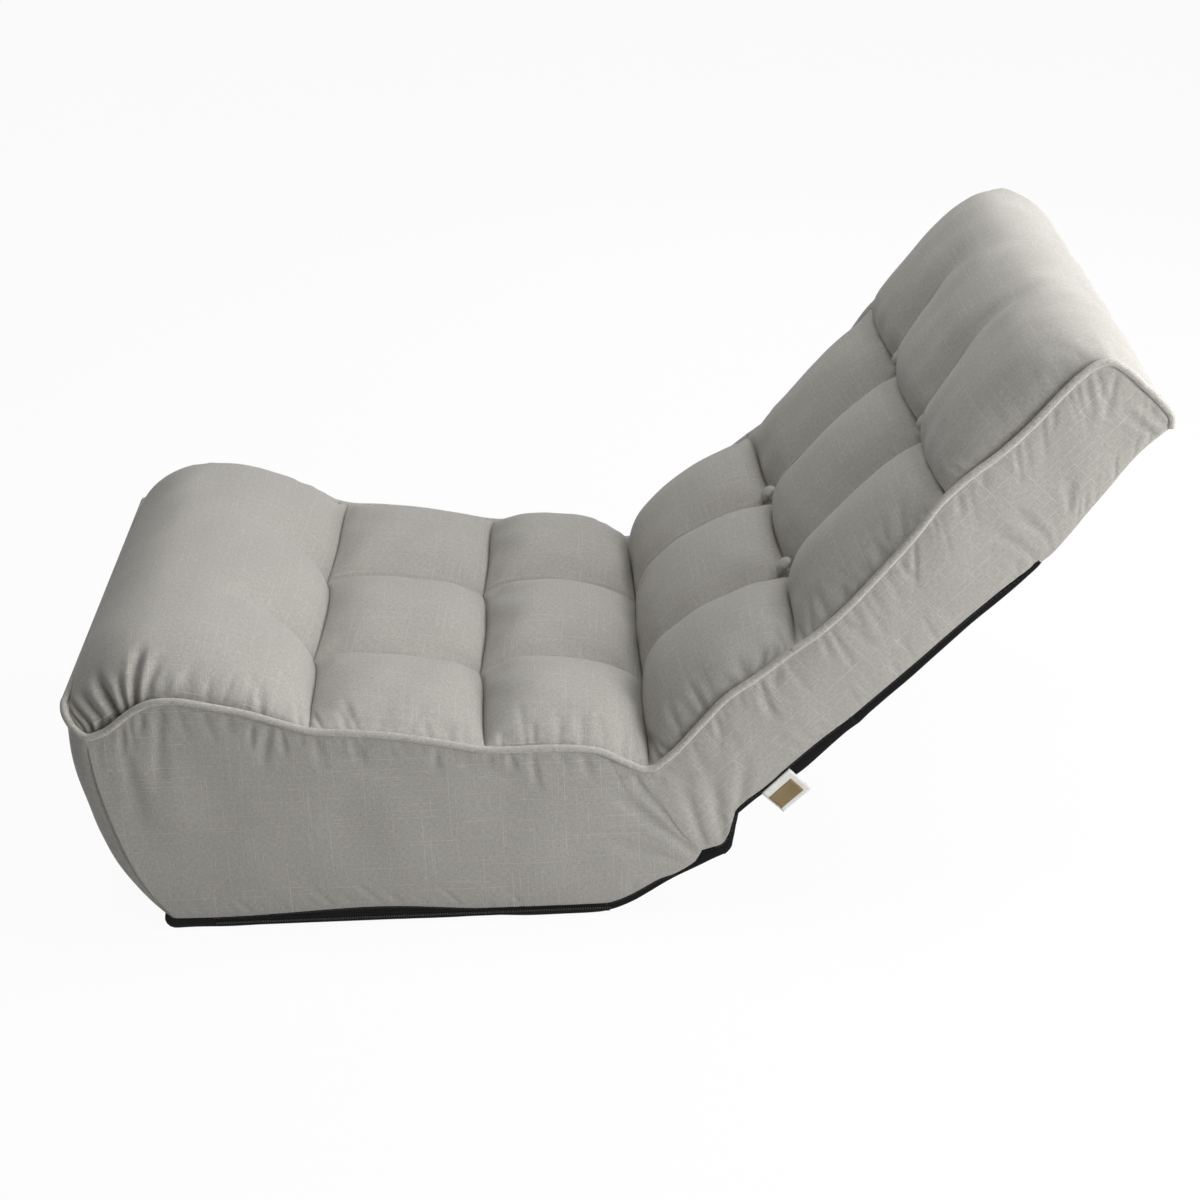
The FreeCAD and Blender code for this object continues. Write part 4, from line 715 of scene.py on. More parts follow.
@dataclass(frozen=True)
class Linen:
    """Linen-look polyester, plain woven from slub yarn: matt, a fine grain, some pale thick threads."""

    name: str
    base: str = "#bab7b1"
    dark: str = "#a5a29c"
    slub: str = "#d6d3ce"
    thread_mm: float = 1.0
    thread_length: float = 5
    slub_width_mm: float = 0.6
    slub_length_mm: float = 60.0
    slub_share: float = 0.5
    turn: float = 0.0
    bump_mm: float = 0.2
    roughness: float = 0.92

    def threads(self, tree: bpy.types.NodeTree, place, turned: bool):
        """Noise drawn out along one thread direction; its output runs from 0 to 1."""
        size = [1 / (self.thread_mm * self.thread_length * MM), 1 / (self.thread_mm * MM)]
        if turned:
            size.reverse()
        spot = add(tree, "ShaderNodeMapping", {"Vector": place, "Scale": (*size, 1.0)})
        return noise(tree, spot.outputs["Vector"], 1.0, 1.0, "2D", Roughness=0.55)

    def slubs(self, tree: bpy.types.NodeTree, place, turned: bool):
        """Long thick places in some single threads; its output runs from 0 to 1."""
        apart = add(tree, "ShaderNodeSeparateXYZ", {0: place}).outputs
        along, across = (apart["Y"], apart["X"]) if turned else (apart["X"], apart["Y"])
        thread = maths(tree, "MULTIPLY", across, 1 / (self.slub_width_mm * MM))
        number = maths(tree, "FLOOR", thread)
        chance = add(tree, "ShaderNodeTexWhiteNoise", {"W": number}, noise_dimensions="1D").outputs["Value"]
        picked = share_of(tree, chance, 0.8, 0.95)
        far = maths(tree, "MULTIPLY", along, 1 / (self.slub_length_mm * MM))
        apiece = maths(tree, "MULTIPLY", number, 7.31)
        spot = add(tree, "ShaderNodeCombineXYZ", {"X": far, "Y": apiece})
        wave = noise(tree, spot.outputs[0], 1.0, 1.0, "2D")
        both = maths(tree, "MULTIPLY", picked, share_of(tree, wave, 0.52, 0.62))
        edge = maths(tree, "PINGPONG", thread, 0.5)
        soft = maths(tree, "MULTIPLY", edge, 3.0, clamp=True)
        return maths(tree, "MULTIPLY", both, soft)

    def material(self) -> bpy.types.Material:
        """Builds the cloth on the piece's own Weave map, which is in metres."""
        made, tree, shader = new_material(self.name)
        weave = add(tree, "ShaderNodeUVMap", uv_map="Weave").outputs["UV"]
        spot = add(tree, "ShaderNodeMapping", {"Vector": weave, "Rotation": (0, 0, self.turn)})
        place = spot.outputs["Vector"]
        grain = maths(tree, "ADD", self.threads(tree, place, False), self.threads(tree, place, True))
        slub = maths(tree, "MAXIMUM", self.slubs(tree, place, False), self.slubs(tree, place, True))
        mottle = noise(tree, place, 55.0, 3.0, "2D")
        uneven = maths(tree, "MULTIPLY_ADD", mottle, 0.25, 0.375)
        share = maths(tree, "MULTIPLY", share_of(tree, grain, 0.72, 1.28), uneven)
        share = maths(tree, "MULTIPLY", share, 1.7, clamp=True)
        cloth = mixed(tree, share, linear(self.dark), linear(self.base))
        light = maths(tree, "MULTIPLY", slub, self.slub_share)
        relief = maths(tree, "MULTIPLY_ADD", slub, 1.2, grain)
        feed(shader, {
            "Base Color": mixed(tree, light, cloth, linear(self.slub)),
            "Normal": bumped(tree, relief, 0.75, self.bump_mm),
            "Roughness": self.roughness,
            "Specular IOR Level": 0.25,
            "Sheen Weight": 0.12,
            "Sheen Roughness": 0.6,
        })
        return made


@dataclass(frozen=True)
class Nonwoven:
    """Spun-bond polypropylene lining: pressed fibres, almost black, a dull dotted surface."""

    name: str = "spunbond_lining"
    base: str = "#060607"
    fibre: str = "#101011"
    dot_mm: float = 1.6
    bump_mm: float = 0.15

    def material(self) -> bpy.types.Material:
        """Builds the lining on Object coordinates."""
        made, tree, shader = new_material(self.name)
        place = add(tree, "ShaderNodeTexCoord").outputs["Object"]
        fibre = noise(tree, place, 900.0, 3.0, Distortion=1.5)
        dots = add(tree, "ShaderNodeTexVoronoi", {"Vector": place, "Scale": 1 / (self.dot_mm * MM)})
        height = maths(tree, "MULTIPLY_ADD", dots.outputs["Distance"], 0.5, fibre)
        feed(shader, {
            "Base Color": mixed(tree, fibre, linear(self.base), linear(self.fibre)),
            "Normal": bumped(tree, height, 0.5, self.bump_mm),
            "Roughness": 0.8,
            "Specular IOR Level": 0.2,
        })
        return made


@dataclass(frozen=True)
class Plain:
    """A finish of one material with a fine grain: moulded, coated, plated, foamed or spun."""

    name: str
    base: str
    dark: str
    roughness: float
    metallic: float = 0.0
    grain_mm: float = 1.0
    bump_mm: float = 0.03
    bump: float = 0.3

    def material(self) -> bpy.types.Material:
        """Builds the finish on Object coordinates."""
        made, tree, shader = new_material(self.name)
        place = add(tree, "ShaderNodeTexCoord").outputs["Object"]
        grain = noise(tree, place, 1 / (self.grain_mm * MM), 4.0)
        both = maths(tree, "MULTIPLY", grain, noise(tree, place, 40.0, 2.0))
        share = share_of(tree, both, 0.12, 0.4)
        limits = {"To Min": self.roughness * 0.85, "To Max": min(1.0, self.roughness * 1.15)}
        rough = add(tree, "ShaderNodeMapRange", {"Value": grain, **limits})
        feed(shader, {
            "Base Color": mixed(tree, share, linear(self.dark), linear(self.base)),
            "Roughness": rough.outputs[0],
            "Normal": bumped(tree, grain, self.bump, self.bump_mm),
            "Metallic": self.metallic,
        })
        return made


def once(kind):
    """A field for the material of one kind, which is built when the finishes are."""
    return field(default_factory=kind.material)


@dataclass
class Finishes:
    """Every material of the chair, made once."""

    cover: bpy.types.Material = once(Linen("woven_slub_linen"))
    # The piping's linen: cut on the bias, so its grain turns 42°, and painted lighter than the cover as a
    # painted highlight along the cord's lit top
    bias: bpy.types.Material = once(
        Linen("bias_linen_painted_lighter", base="#c8c5bf", dark="#a9a69f", turn=math.radians(42), thread_mm=1.3,
              slub_width_mm=1.1, slub_length_mm=14.0))
    lining: bpy.types.Material = once(Nonwoven())
    # Open-cell polyurethane foam, cut with a blade: cream, matt, full of pores
    foam: bpy.types.Material = once(
        Plain("cut_polyurethane_foam", "#e6dcb8", "#b9ac84", 0.95, grain_mm=1.2, bump_mm=0.6, bump=0.9))
    # Baked enamel on steel tube: black, smooth, a soft shine
    enamel: bpy.types.Material = once(
        Plain("baked_enamel_on_steel", "#1b1c1e", "#141516", 0.38, grain_mm=0.6))
    # Zinc plate, passivated: pale grey metal with a faint cloud
    zinc: bpy.types.Material = once(Plain("passivated_zinc_plate", "#b4b5b2", "#8f9192", 0.36, 1.0, 0.5))
    # Spring steel, blued by its tempering: dark, even, half matt
    spring: bpy.types.Material = once(Plain("blued_spring_steel", "#5c6068", "#44474e", 0.4, 1.0, 0.5))
    # Spun polyester thread, the cover's colour: pale, matt, twisted
    thread: bpy.types.Material = once(
        Plain("spun_polyester_thread", "#c4c0b8", "#a6a29a", 0.85, grain_mm=0.4))
    # The same thread in black, for the lining's edge
    dark_thread: bpy.types.Material = once(
        Plain("black_polyester_thread", "#2a2a2c", "#161617", 0.8, grain_mm=0.4))
    # Woven satin tape: white, close and smooth
    tape: bpy.types.Material = once(Plain("woven_satin_tape", "#f2f1ed", "#dedcd6", 0.6, grain_mm=0.5))
    # Brown patch woven into the tape
    patch: bpy.types.Material = once(Plain("brown_woven_patch", "#94805a", "#7a6745", 0.65, grain_mm=0.5))
    # Nylon coil zip: black, hard, slightly shiny
    zip: bpy.types.Material = once(Plain("nylon_zip", "#141415", "#0b0b0c", 0.45, grain_mm=0.8))


def dress(made: bpy.types.Object, material: bpy.types.Material) -> bpy.types.Object:
    """Gives the whole object one material."""
    made.data.materials.clear()
    made.data.materials.append(material)
    return made


def fasten(made: bpy.types.Object, to, slot: str, *nodes: str) -> bpy.types.Object:
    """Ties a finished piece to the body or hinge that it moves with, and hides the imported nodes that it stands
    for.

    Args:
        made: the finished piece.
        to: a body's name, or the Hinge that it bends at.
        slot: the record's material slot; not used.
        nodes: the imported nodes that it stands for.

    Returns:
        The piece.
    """
    if isinstance(to, Hinge):
        low, high, start, end = to.value
        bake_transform(made, low, high, start=start, end=end)
    else:
        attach(made, to)
    if nodes:
        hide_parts(*nodes)
    stands_for = ", ".join(nodes) or "nothing"
    LOG.info("%s: %d faces, stands for %s", made.name, len(made.data.polygons), stands_for)
    return made


# Cushions


@dataclass
class Cushion:
    """One cross row of the tufted top: three columns between two cross seams."""

    name: str
    nodes: tuple
    to: object
    crown: np.ndarray
    seam: np.ndarray
    rim: np.ndarray
    base: tuple
    shares: np.ndarray
    seed: int
    filling: Filling = field(default_factory=Filling)
    column_points: int = 41
    full: float = 2.0
    steep: float = 0.8
    rim_steep: float = 0.62
    pucker_depth: float = 2.7
    far_share: float = 0.3
    unevenness: float = 0.8
    calm: float = 25.0
    star_depth: float = 0.3
    star_folds: int = 7
    star_reach: float = 22.0
    star_width: float = 14.0
    loose_from: float = 14.0
    corner_radius: float = 0.0
    corner_inset: float = 6.0
    folds: tuple = ()

    def cross_points(self) -> np.ndarray:
        """The x of each column of grid points, closer together at the seams and edges."""
        share = crowded(self.column_points)
        outer = -HALF_FOAM + (HALF_FOAM - COLUMN_SEAM) * share
        inner = -COLUMN_SEAM + 2 * COLUMN_SEAM * share
        return np.concatenate([outer[:-1], inner[:-1], -outer[::-1]])

    def surface(self) -> tuple:
        """The shown grid before its folds.

        Returns:
            The grid, and the x of its columns.
        """
        x = self.cross_points()
        size = np.abs(x)
        middle = size <= COLUMN_SEAM + 1e-6
        outer_share = (size - COLUMN_SEAM) / (HALF_FOAM - COLUMN_SEAM)
        v = np.clip(np.where(middle, (x + COLUMN_SEAM) / (2 * COLUMN_SEAM), outer_share), 0, 1)
        steep = np.where(middle | (v < 0.5), self.steep, self.rim_steep)
        puff = (1 - np.abs(2 * v - 1) ** self.full) ** steep
        crown, seam, rim = (line[:, None] for line in (self.crown, self.seam, self.rim))
        floor = np.where((middle | (v < 0.5))[None, :, None], seam, rim)
        return with_x(x, floor + (crown - floor) * puff[None, :, None]), x

    def rounded(self, grid: np.ndarray) -> np.ndarray:
        """Rounds the two front corners in plan."""
        if not self.corner_radius:
            return grid
        r = self.corner_radius
        out = grid.copy()
        u = (np.abs(grid[..., 0]) - (HALF_FOAM - r)) / r
        w = ((FRONT_TOP[0] + r) - grid[..., 1]) / r
        inside = (u > 0) & (w > 0)
        u, w = np.clip(u, 0, 1), np.clip(w, 0, 1)
        new_u, new_w = u * np.sqrt(1 - w * w / 2), w * np.sqrt(1 - u * u / 2)
        out[..., 0] = np.where(inside, np.sign(grid[..., 0]) * (HALF_FOAM - r + new_u * r), grid[..., 0])
        out[..., 1] = np.where(inside, FRONT_TOP[0] + r - new_w * r, grid[..., 1])
        return out

    def wrinkled(self, grid: np.ndarray, x: np.ndarray) -> np.ndarray:
        """Adds what stitching does to the cloth: puckers at the piping, pinched crossings, slow unevenness.

        The far side's puckers are shallower, because its outline is smooth in the photograph.
        """
        run = arc_lengths(self.rim[None], 1)[0]
        u = np.broadcast_to(run[:, None], grid.shape[:2])
        down = arc_lengths(grid, 1)
        total = np.zeros(grid.shape[:2])
        for sign, reach, seed in ((1, down[:, -1:] - down, self.seed), (-1, down, self.seed + 50)):
            puckers = Puckers(seed, depth=self.pucker_depth * (1 if sign > 0 else self.far_share))
            near = puckers.height(u, reach, 0, run[-1])
            for fold in self.folds:
                near += fold.height(u, reach)
            total += np.where(np.sign(x)[None] == sign, near, 0)
        length = arc_lengths(grid, 0)
        free = np.minimum(1, to_nearer_end(length) / self.calm)
        free = free * np.minimum(1, (HALF_FOAM - np.abs(x))[None] / self.calm)
        total += soft_waves(np.broadcast_to(x[None], u.shape), length, self.seed, self.unevenness) * free
        from_seam = np.minimum(np.abs(x - COLUMN_SEAM), np.abs(x + COLUMN_SEAM))[None]
        for end in (length, length[-1:] - length):
            away = np.sqrt(end**2 + from_seam**2)
            angle = np.arctan2(end, from_seam + 1e-6)
            star = self.star_depth * np.sin(self.star_folds * angle + self.seed)
            total += star * np.exp(-(((away - self.star_reach) / self.star_width) ** 2))
            total *= ramp(end, 0, 6)
        return grid + normals(grid) * total[..., None]

    def build(self, finish: Finishes) -> bpy.types.Object:
        """Makes, fills, subdivides and dresses the cushion."""
        grid, x = self.surface()
        grid = self.rounded(grid)
        shown = self.wrinkled(grid, x)
        line = along_line(np.asarray(self.base, float), self.shares)
        hidden = with_x(x, np.broadcast_to(line[:, None], (*grid.shape[:2], 2)))
        if self.corner_radius:
            limit = HALF_FOAM - self.corner_inset
            hidden[..., 0] = np.clip(hidden[..., 0], -limit, limit)
        weave = np.stack(np.broadcast_arrays(x[None], arc_lengths(self.crown[:, None], 0)), axis=2) * MM
        made = Pad(self.name, shown, hidden, weave, rings=(0.03, 0.12, 0.5), press=1.0).build()
        size = shown.shape[0] * shown.shape[1]
        from_seam = np.minimum(np.abs(np.abs(x) - COLUMN_SEAM), HALF_FOAM - np.abs(x))[None]
        ends = to_nearer_end(arc_lengths(grid, 0))
        held = np.ones(len(made.data.vertices))
        free = ramp(from_seam, 1.0, self.loose_from) * ramp(ends, 1.0, self.loose_from)
        held[:size] = 1 - free.ravel()
        self.filling.swell(made, held)
        subdivide(made)
        dress(made, finish.cover)
        fasten(made, self.to, "linen_cover", *self.nodes)
        return made


def lowered(line: np.ndarray, depth: np.ndarray) -> np.ndarray:
    """A side-view line moved inwards, square to itself, by a depth for each point."""
    run = np.gradient(line, axis=0)
    normal = np.stack([-run[:, 1], run[:, 0]], 1) / np.linalg.norm(run, axis=1, keepdims=True)
    return line - normal * np.asarray(depth)[:, None]


def led_to(line: np.ndarray, place: tuple, near: np.ndarray) -> np.ndarray:
    """A line with its end brought to a place; near is 1 there and 0 where the line keeps its course."""
    end = line[int(np.argmax(near))]
    return line + (np.asarray(place) - end) * near[:, None]


def front_roll() -> Cushion:
    """The smooth roll under the knees, whose lobes show only near its rear seam."""
    shares = crowded(96, 0.3)
    crown = along_line(smooth_line([
        FRONT_TOP, (-293, 262), (-280, 280), (-257, 295), (-228, 303), (-193, 301), (-150, 290), (-112, 273),
        (-88, 257), (-74, 242), ROLL_MIDDLE]), shares)
    seam = lowered(crown, 19.0 * ramp(shares, 0.5, 0.86))
    seam = led_to(seam, ROLL_CROSSING, ramp(shares, 0.86, 1.0))
    rim = along_line(smooth_line(ROLL_RIM), shares)
    folds = (
        Fold((64, -4), (46, 56), 5.2, 10.0),
        Fold((81, -4), (90, 60), 5.0, 10.0),
        Fold((53, -4), (26, 46), 4.5, 6.0),
        Fold((42, -4), (10, 38), 4.0, 5.0),
        Fold((73, -3), (69, 40), 3.2, 6.0),
        Fold((92, -3), (108, 46), 5.0, 3.0),
        Fold((34, -4), (2, 24), 3.4, 2.6),
        Fold((120, -3), (140, 40), 6.0, 1.8),
        Fold((205, -3), (190, 40), 6.0, 2.0),
        Fold((243, -3), (228, 44), 5.0, 3.0),
    )
    return Cushion("front_roll", ("front_roll_cushion",), "seat", crown, seam, rim,
                   ((-268, CORE_TOP), (ROLL_SEAM[0], CORE_TOP)), shares, 11, Filling(cap_mm=4),
                   steep=0.8, rim_steep=0.5, pucker_depth=1.2, corner_radius=30, folds=folds)


def seat_front_row() -> Cushion:
    """The first tufted row behind the roll."""
    shares = crowded(50)
    return Cushion(
        "seat_front_row", ("seat_front_row_cushion",), "seat",
        pillow_line(ROLL_MIDDLE, ROW_MIDDLE, 22, shares),
        pillow_line(ROLL_CROSSING, ROW_CROSSING, 16, shares, 2.2, 0.6),
        along_line(smooth_line(FRONT_ROW_RIM), shares),
        ((ROLL_SEAM[0], CORE_TOP), (ROW_SEAM[0], CORE_TOP)), shares, 21, pucker_depth=2.2)


def seat_rear_row() -> Cushion:
    """The second tufted row, up to the crease."""
    shares = crowded(50)
    return Cushion(
        "seat_rear_row", ("seat_rear_row_cushion", "crease_pad"), Hinge.LOW,
        pillow_line(ROW_MIDDLE, CREASE_MIDDLE, 40, shares),
        pillow_line(ROW_CROSSING, CREASE_CROSSING, 25, shares, 2.2, 0.6),
        along_line(smooth_line(REAR_ROW_RIM), shares),
        ((ROW_SEAM[0], CORE_TOP), CREASE_BOTTOM), shares, 31, pucker_depth=2.2)


def lumbar_row() -> Cushion:
    """The back's lower row, fullest just over the crease."""
    shares = crowded(54)
    crown = (CREASE_MIDDLE, (257, 186), (267, 215), (292, 243), (326, 268), (361, 285), (387, 293),
             (400, 291), LUMBAR_MIDDLE)
    seam = (CREASE_CROSSING, (264, 180), (275, 207), (298, 230), (331, 252), (371, 269), (400, 276),
            LUMBAR_CROSSING)
    return Cushion(
        "lumbar_row", ("lumbar_row_cushion", "crease_pad"), Hinge.LOW, along_line(smooth_line(crown), shares),
        along_line(smooth_line(seam), shares), along_line(smooth_line(LUMBAR_RIM), shares),
        (CREASE_BOTTOM, (300, 137), LUMBAR_BOTTOM), shares, 41, pucker_depth=2.8)


def upper_row() -> Cushion:
    """The back's upper row, between the two pairs of buttons."""
    shares = crowded(58)
    crown = (LUMBAR_MIDDLE, (403.5, 298), (412, 320), (432, 348), (454, 373), (480, 399), (507, 421),
             (530, 435), (541, 438), NECK_MIDDLE)
    seam = (LUMBAR_CROSSING, (419, 297), (430, 316), (461, 347), (494, 379), (526, 407), (545, 421),
            NECK_CROSSING)
    return Cushion(
        "upper_row", ("upper_row_cushion", "neck_pad"), Hinge.HIGH, along_line(smooth_line(crown), shares),
        along_line(smooth_line(seam), shares), along_line(smooth_line(UPPER_RIM), shares),
        (LUMBAR_BOTTOM, NECK_BOTTOM), shares, 51, pucker_depth=2.2)


def on_head(along: float, out: float) -> tuple:
    """A place given along and in front of the head's hinge line, in the chair's side view."""
    a = math.radians(HEAD_ANGLE)
    return (HEAD_HINGE[0] + along * math.cos(a) - out * math.sin(a),
            HEAD_HINGE[1] + along * math.sin(a) + out * math.cos(a))


def head_roll() -> Cushion:
    """The head roll: lobed over the neck seam, smooth over the top and down to its rear edge."""
    shares = crowded(62, 0.35)
    bulge = ((-22, 88), (-9, 99), (18, 104), (55, 106), (95, 105), (132, 99), (159, 86), (175, 64),
             (180, 36), (175, 6), (163, -18))
    crown = along_line(smooth_line([NECK_MIDDLE, *(on_head(*place) for place in bulge), HEAD_END]), shares)
    seam = led_to(lowered(crown, 14.0 * ramp(shares, 0.52, 0.16)), NECK_CROSSING, ramp(shares, 0.16, 0.0))
    rim = along_line(smooth_line(HEAD_RIM), shares)
    return Cushion("head_roll", ("head_roll_cushion", "neck_pad"), Hinge.HIGH, crown, seam, rim,
                   (NECK_BOTTOM, (610, 428), (653, 416), (731, 498)), shares, 61, Filling(cap_mm=4),
                   column_points=45, full=2.1, steep=0.62, rim_steep=0.5, pucker_depth=1.0)


# Side, front and rear covers


@dataclass
class SideCover:
    """A grey side panel of one cushion block, left or right, with its soft folds."""

    name: str
    nodes: tuple
    to: object
    top: tuple
    bottom: tuple
    left: tuple
    right: tuple
    side: int
    turn: float
    flat: tuple
    area: float
    folds: tuple
    seed: int
    columns: int
    rows: int = 50
    bulge: float = 3.0
    tuck: float = 2.6
    tuck_reach: float = 5.0
    puckers: float = 2.5
    foot_puckers: float = 0.8
    unevenness: float = 1.2
    wave: float = 90

    def build(self, finish: Finishes) -> None:
        """Makes and dresses the panel."""
        flat = coons(smooth_line(self.top, self.columns), smooth_line(self.bottom, self.columns),
                     smooth_line(self.left, self.rows), smooth_line(self.right, self.rows))
        v = np.linspace(0, 1, self.rows)[:, None]
        down = arc_lengths(flat, 0)
        up = down[-1:] - down
        run = np.broadcast_to(arc_lengths(flat, 1)[:1], down.shape)
        out = HALF_WIDTH + self.bulge * np.sin(np.pi * v) ** 0.7 * np.ones_like(down)
        out -= self.tuck * np.exp(-down / self.tuck_reach)
        end = run.max()
        relief = Puckers(self.seed, depth=self.puckers, spacing=17, reach=38).height(run, down, 0, end)
        foot = Puckers(self.seed + 9, depth=self.foot_puckers, spacing=22, reach=26)
        relief += foot.height(run, up, 0, end)
        relief *= ramp(run, 0, 14) * ramp(end - run, 0, 14)
        for fold in self.folds:
            relief += fold.height(flat[..., 0], flat[..., 1])
        waves = soft_waves(flat[..., 0], flat[..., 1], 73 + self.side, self.unevenness, self.wave)
        relief += waves * np.sin(np.pi * v)
        relief *= ramp(up, 0, 7)
        out = np.maximum(out + relief, HALF_FOAM + CLOTH + 0.3)
        outer = np.concatenate([self.side * out[..., None], flat], axis=2)
        inner = outer.copy()
        inner[..., 0] -= self.side * CLOTH
        angle = math.radians(self.turn)
        turned = np.stack([flat[..., 0] * math.cos(angle) + flat[..., 1] * math.sin(angle),
                           flat[..., 1] * math.cos(angle) - flat[..., 0] * math.sin(angle)], axis=2)
        made = Pad(self.name, outer, inner, turned * MM, rings=(0.2, 0.8), crisp=True).build()
        subdivide(made)
        dress(made, finish.cover)
        fasten(made, self.to, "linen_cover", *self.nodes)


SIDE_SEAM = (CREASE, (268, 136), (279, 112), (293, 88), GUSSET_TOP)
FRONT_SIDE_SEAM = (CORNER_SEAM_TOP, (-271, 175), (-258.5, 117), (-240.5, 61), (-223.5, 30), FRONT_FOOT)
LUMBAR_LINE = (LUMBAR_SEAM, (425, 243), LUMBAR_REAR)
HEAD_CORNER = (HEAD_END, (736.5, 498.2), (735, 497))


def side_covers(side: int, end: str) -> list:
    """The three side panels of one side; side is 1 for the left and -1 for the right."""
    seat_top = (CORNER_SEAM_TOP, *ROLL_RIM[3:], *FRONT_ROW_RIM[1:], *REAR_ROW_RIM[1:])
    seat = SideCover(
        f"seat_side_{end}", (f"seat_side_panel_{end}",), Hinge.LOW, seat_top, SEAT_EDGE, FRONT_SIDE_SEAM,
        SIDE_SEAM, side, 0, (0.6, 0.26), 0.108, seed=70 + side, columns=170, rows=64, folds=(
            Fold((300, 70), (222, 142), 9, 2.6), Fold((296, 84), (246, 150), 6, 2.0),
            Fold((285, 60), (200, 92), 9, 1.8), Fold((252, 158), (205, 165), 7, 1.8),
            Fold((60, 192), (150, 150), 12, 1.8), Fold((-240, 200), (-232, 110), 12, 1.5),
            Fold((-205, 235), (-212, 160), 9, 1.5), Fold((-60, 200), (30, 172), 12, 1.2)))
    lumbar = SideCover(
        f"lumbar_side_{end}", (f"back_side_panel_{end}",), Hinge.LOW, LUMBAR_RIM, LUMBAR_EDGE, SIDE_SEAM,
        LUMBAR_LINE, side, BACK_ANGLE, (0.22, 0.15), 0.0195, seed=80 + side, columns=64,
        puckers=1.7, folds=(
            Fold((312, 74), (290, 150), 7, 2.4), Fold((330, 84), (318, 160), 8, 2.4),
            Fold((345, 105), (352, 180), 8, 1.6), Fold((262, 168), (300, 150), 6, 2.0)))
    upper = SideCover(
        f"upper_side_{end}", (f"back_side_panel_{end}", f"head_side_panel_{end}"), Hinge.HIGH,
        (*UPPER_RIM, *HEAD_RIM[1:]), UPPER_EDGE, LUMBAR_LINE, HEAD_CORNER, side, BACK_ANGLE, (0.4, 0.17),
        0.046, seed=90 + side, columns=150, puckers=1.7, folds=(
            Fold((632, 394), (598, 424), 7, 2.0), Fold((618, 378), (575, 408), 7, 1.6),
            Fold((736, 500), (705, 528), 6, 1.8), Fold((726, 490), (690, 520), 6, 1.6),
            Fold((650, 422), (647, 456), 7, 1.4)))
    return [seat, lumbar, upper]


@dataclass
class FrontCover:
    """The front panel: it leans back to its foot and wraps round both corners."""

    face: tuple = ((-297.5, 243), (-297.5, 195), (-286, 127), (-266, 70), (-246, 37), (-226, 15))
    height: float = 240.0
    corner: float = 30.0
    sag: float = 1.5
    unevenness: float = 1.3
    wave: float = 80
    rows: int = 60
    columns: int = 150

    def build(self, finish: Finishes) -> None:
        """Makes and dresses the panel."""
        face = smooth_line(self.face, self.rows)
        seam = smooth_line(FRONT_SIDE_SEAM, self.rows)
        share = np.linspace(-1, 1, self.columns)
        half = HALF_WIDTH + FRONT_LAP
        path = np.abs(share) * half
        start = HALF_WIDTH - self.corner
        turn = np.clip((path - start) / (half - start), 0, 1)
        x = np.where(turn > 0, start + self.corner * np.sin(turn * np.pi / 2), path)
        toward = (1 - np.cos(turn * np.pi / 2))[None, :, None]
        v = np.linspace(0, 1, self.rows)[:, None]
        side = face[:, None] * (1 - toward) + seam[:, None] * toward
        sag = self.sag * np.cos(share * np.pi / 2)[None] * np.sin(np.pi * v)
        along = np.broadcast_to(share[None] * HALF_WIDTH, sag.shape)
        down = np.broadcast_to(v * self.height, sag.shape)
        relief = -soft_waves(along, down, 5, self.unevenness, self.wave)
        side[..., 0] -= sag + relief * np.sin(np.pi * v)
        outer = with_x(np.sign(share) * x, side)
        n = normals(outer)
        if n[self.rows // 2, self.columns // 2, 1] > 0:
            n = -n
        inner = outer - n * CLOTH
        weave = np.stack(np.broadcast_arrays(share[None] * half, self.height * (1 - v)), axis=2) * MM
        made = Pad("seat_front_cover", outer, inner, weave, rings=(0.2, 0.8)).build()
        subdivide(made)
        dress(made, finish.cover)
        fasten(made, "seat", "linen_cover", "seat_front_panel")


@dataclass
class Sheath:
    """A cover across the whole width behind or under the chair, with a flange up each side."""

    name: str
    nodes: tuple
    to: object
    slot: str
    edge: tuple
    floor: tuple
    flat: tuple
    stations: int
    seed: int = 3
    waves: float = 0.8
    half: float = 267.6
    corner: float = 9.0
    thick: float = 1.4
    flange: tuple = (2.6, 2.4, 2.0, 1.0, -0.4, -1.2, -0.6)
    across: int = 24

    def build(self, material: bpy.types.Material) -> None:
        """Makes and dresses the cover."""
        edge, floor = smooth_line(self.edge, self.stations), smooth_line(self.floor, self.stations)
        flange = len(self.flange)
        reach = np.concatenate([np.linspace(0, 0.9, flange), np.ones(self.across)])
        inset = np.linspace(self.corner, self.half, self.across)
        inset = np.concatenate([self.flange, inset])
        inset[flange] = self.corner / 2
        half_x = self.half - inset
        x = np.concatenate([half_x, -half_x[::-1][1:]])
        mix = np.concatenate([reach, reach[::-1][1:]])[None, :, None]
        grid = with_x(x, edge[:, None] * (1 - mix) + floor[:, None] * mix)
        n = normals(grid)
        station = self.stations // 2
        if n[station, len(x) // 2, 1:] @ (edge[station] - floor[station]) < 0:
            n = -n
        run, wide = arc_lengths(grid, 0), arc_lengths(grid, 1)
        ends = np.minimum(1, to_nearer_end(run) / 15)
        wave = soft_waves(wide, run, self.seed, self.waves, 60) + self.waves
        grid = grid + n * (np.maximum(wave, 0) * ends * mix[..., 0] ** 4)[..., None]
        inner = grid + n * self.thick
        weave = np.stack([wide, run], axis=2) * MM
        made = Pad(self.name, grid, inner, weave, rings=(0.5,)).build()
        dress(made, material)
        fasten(made, self.to, self.slot, *self.nodes)


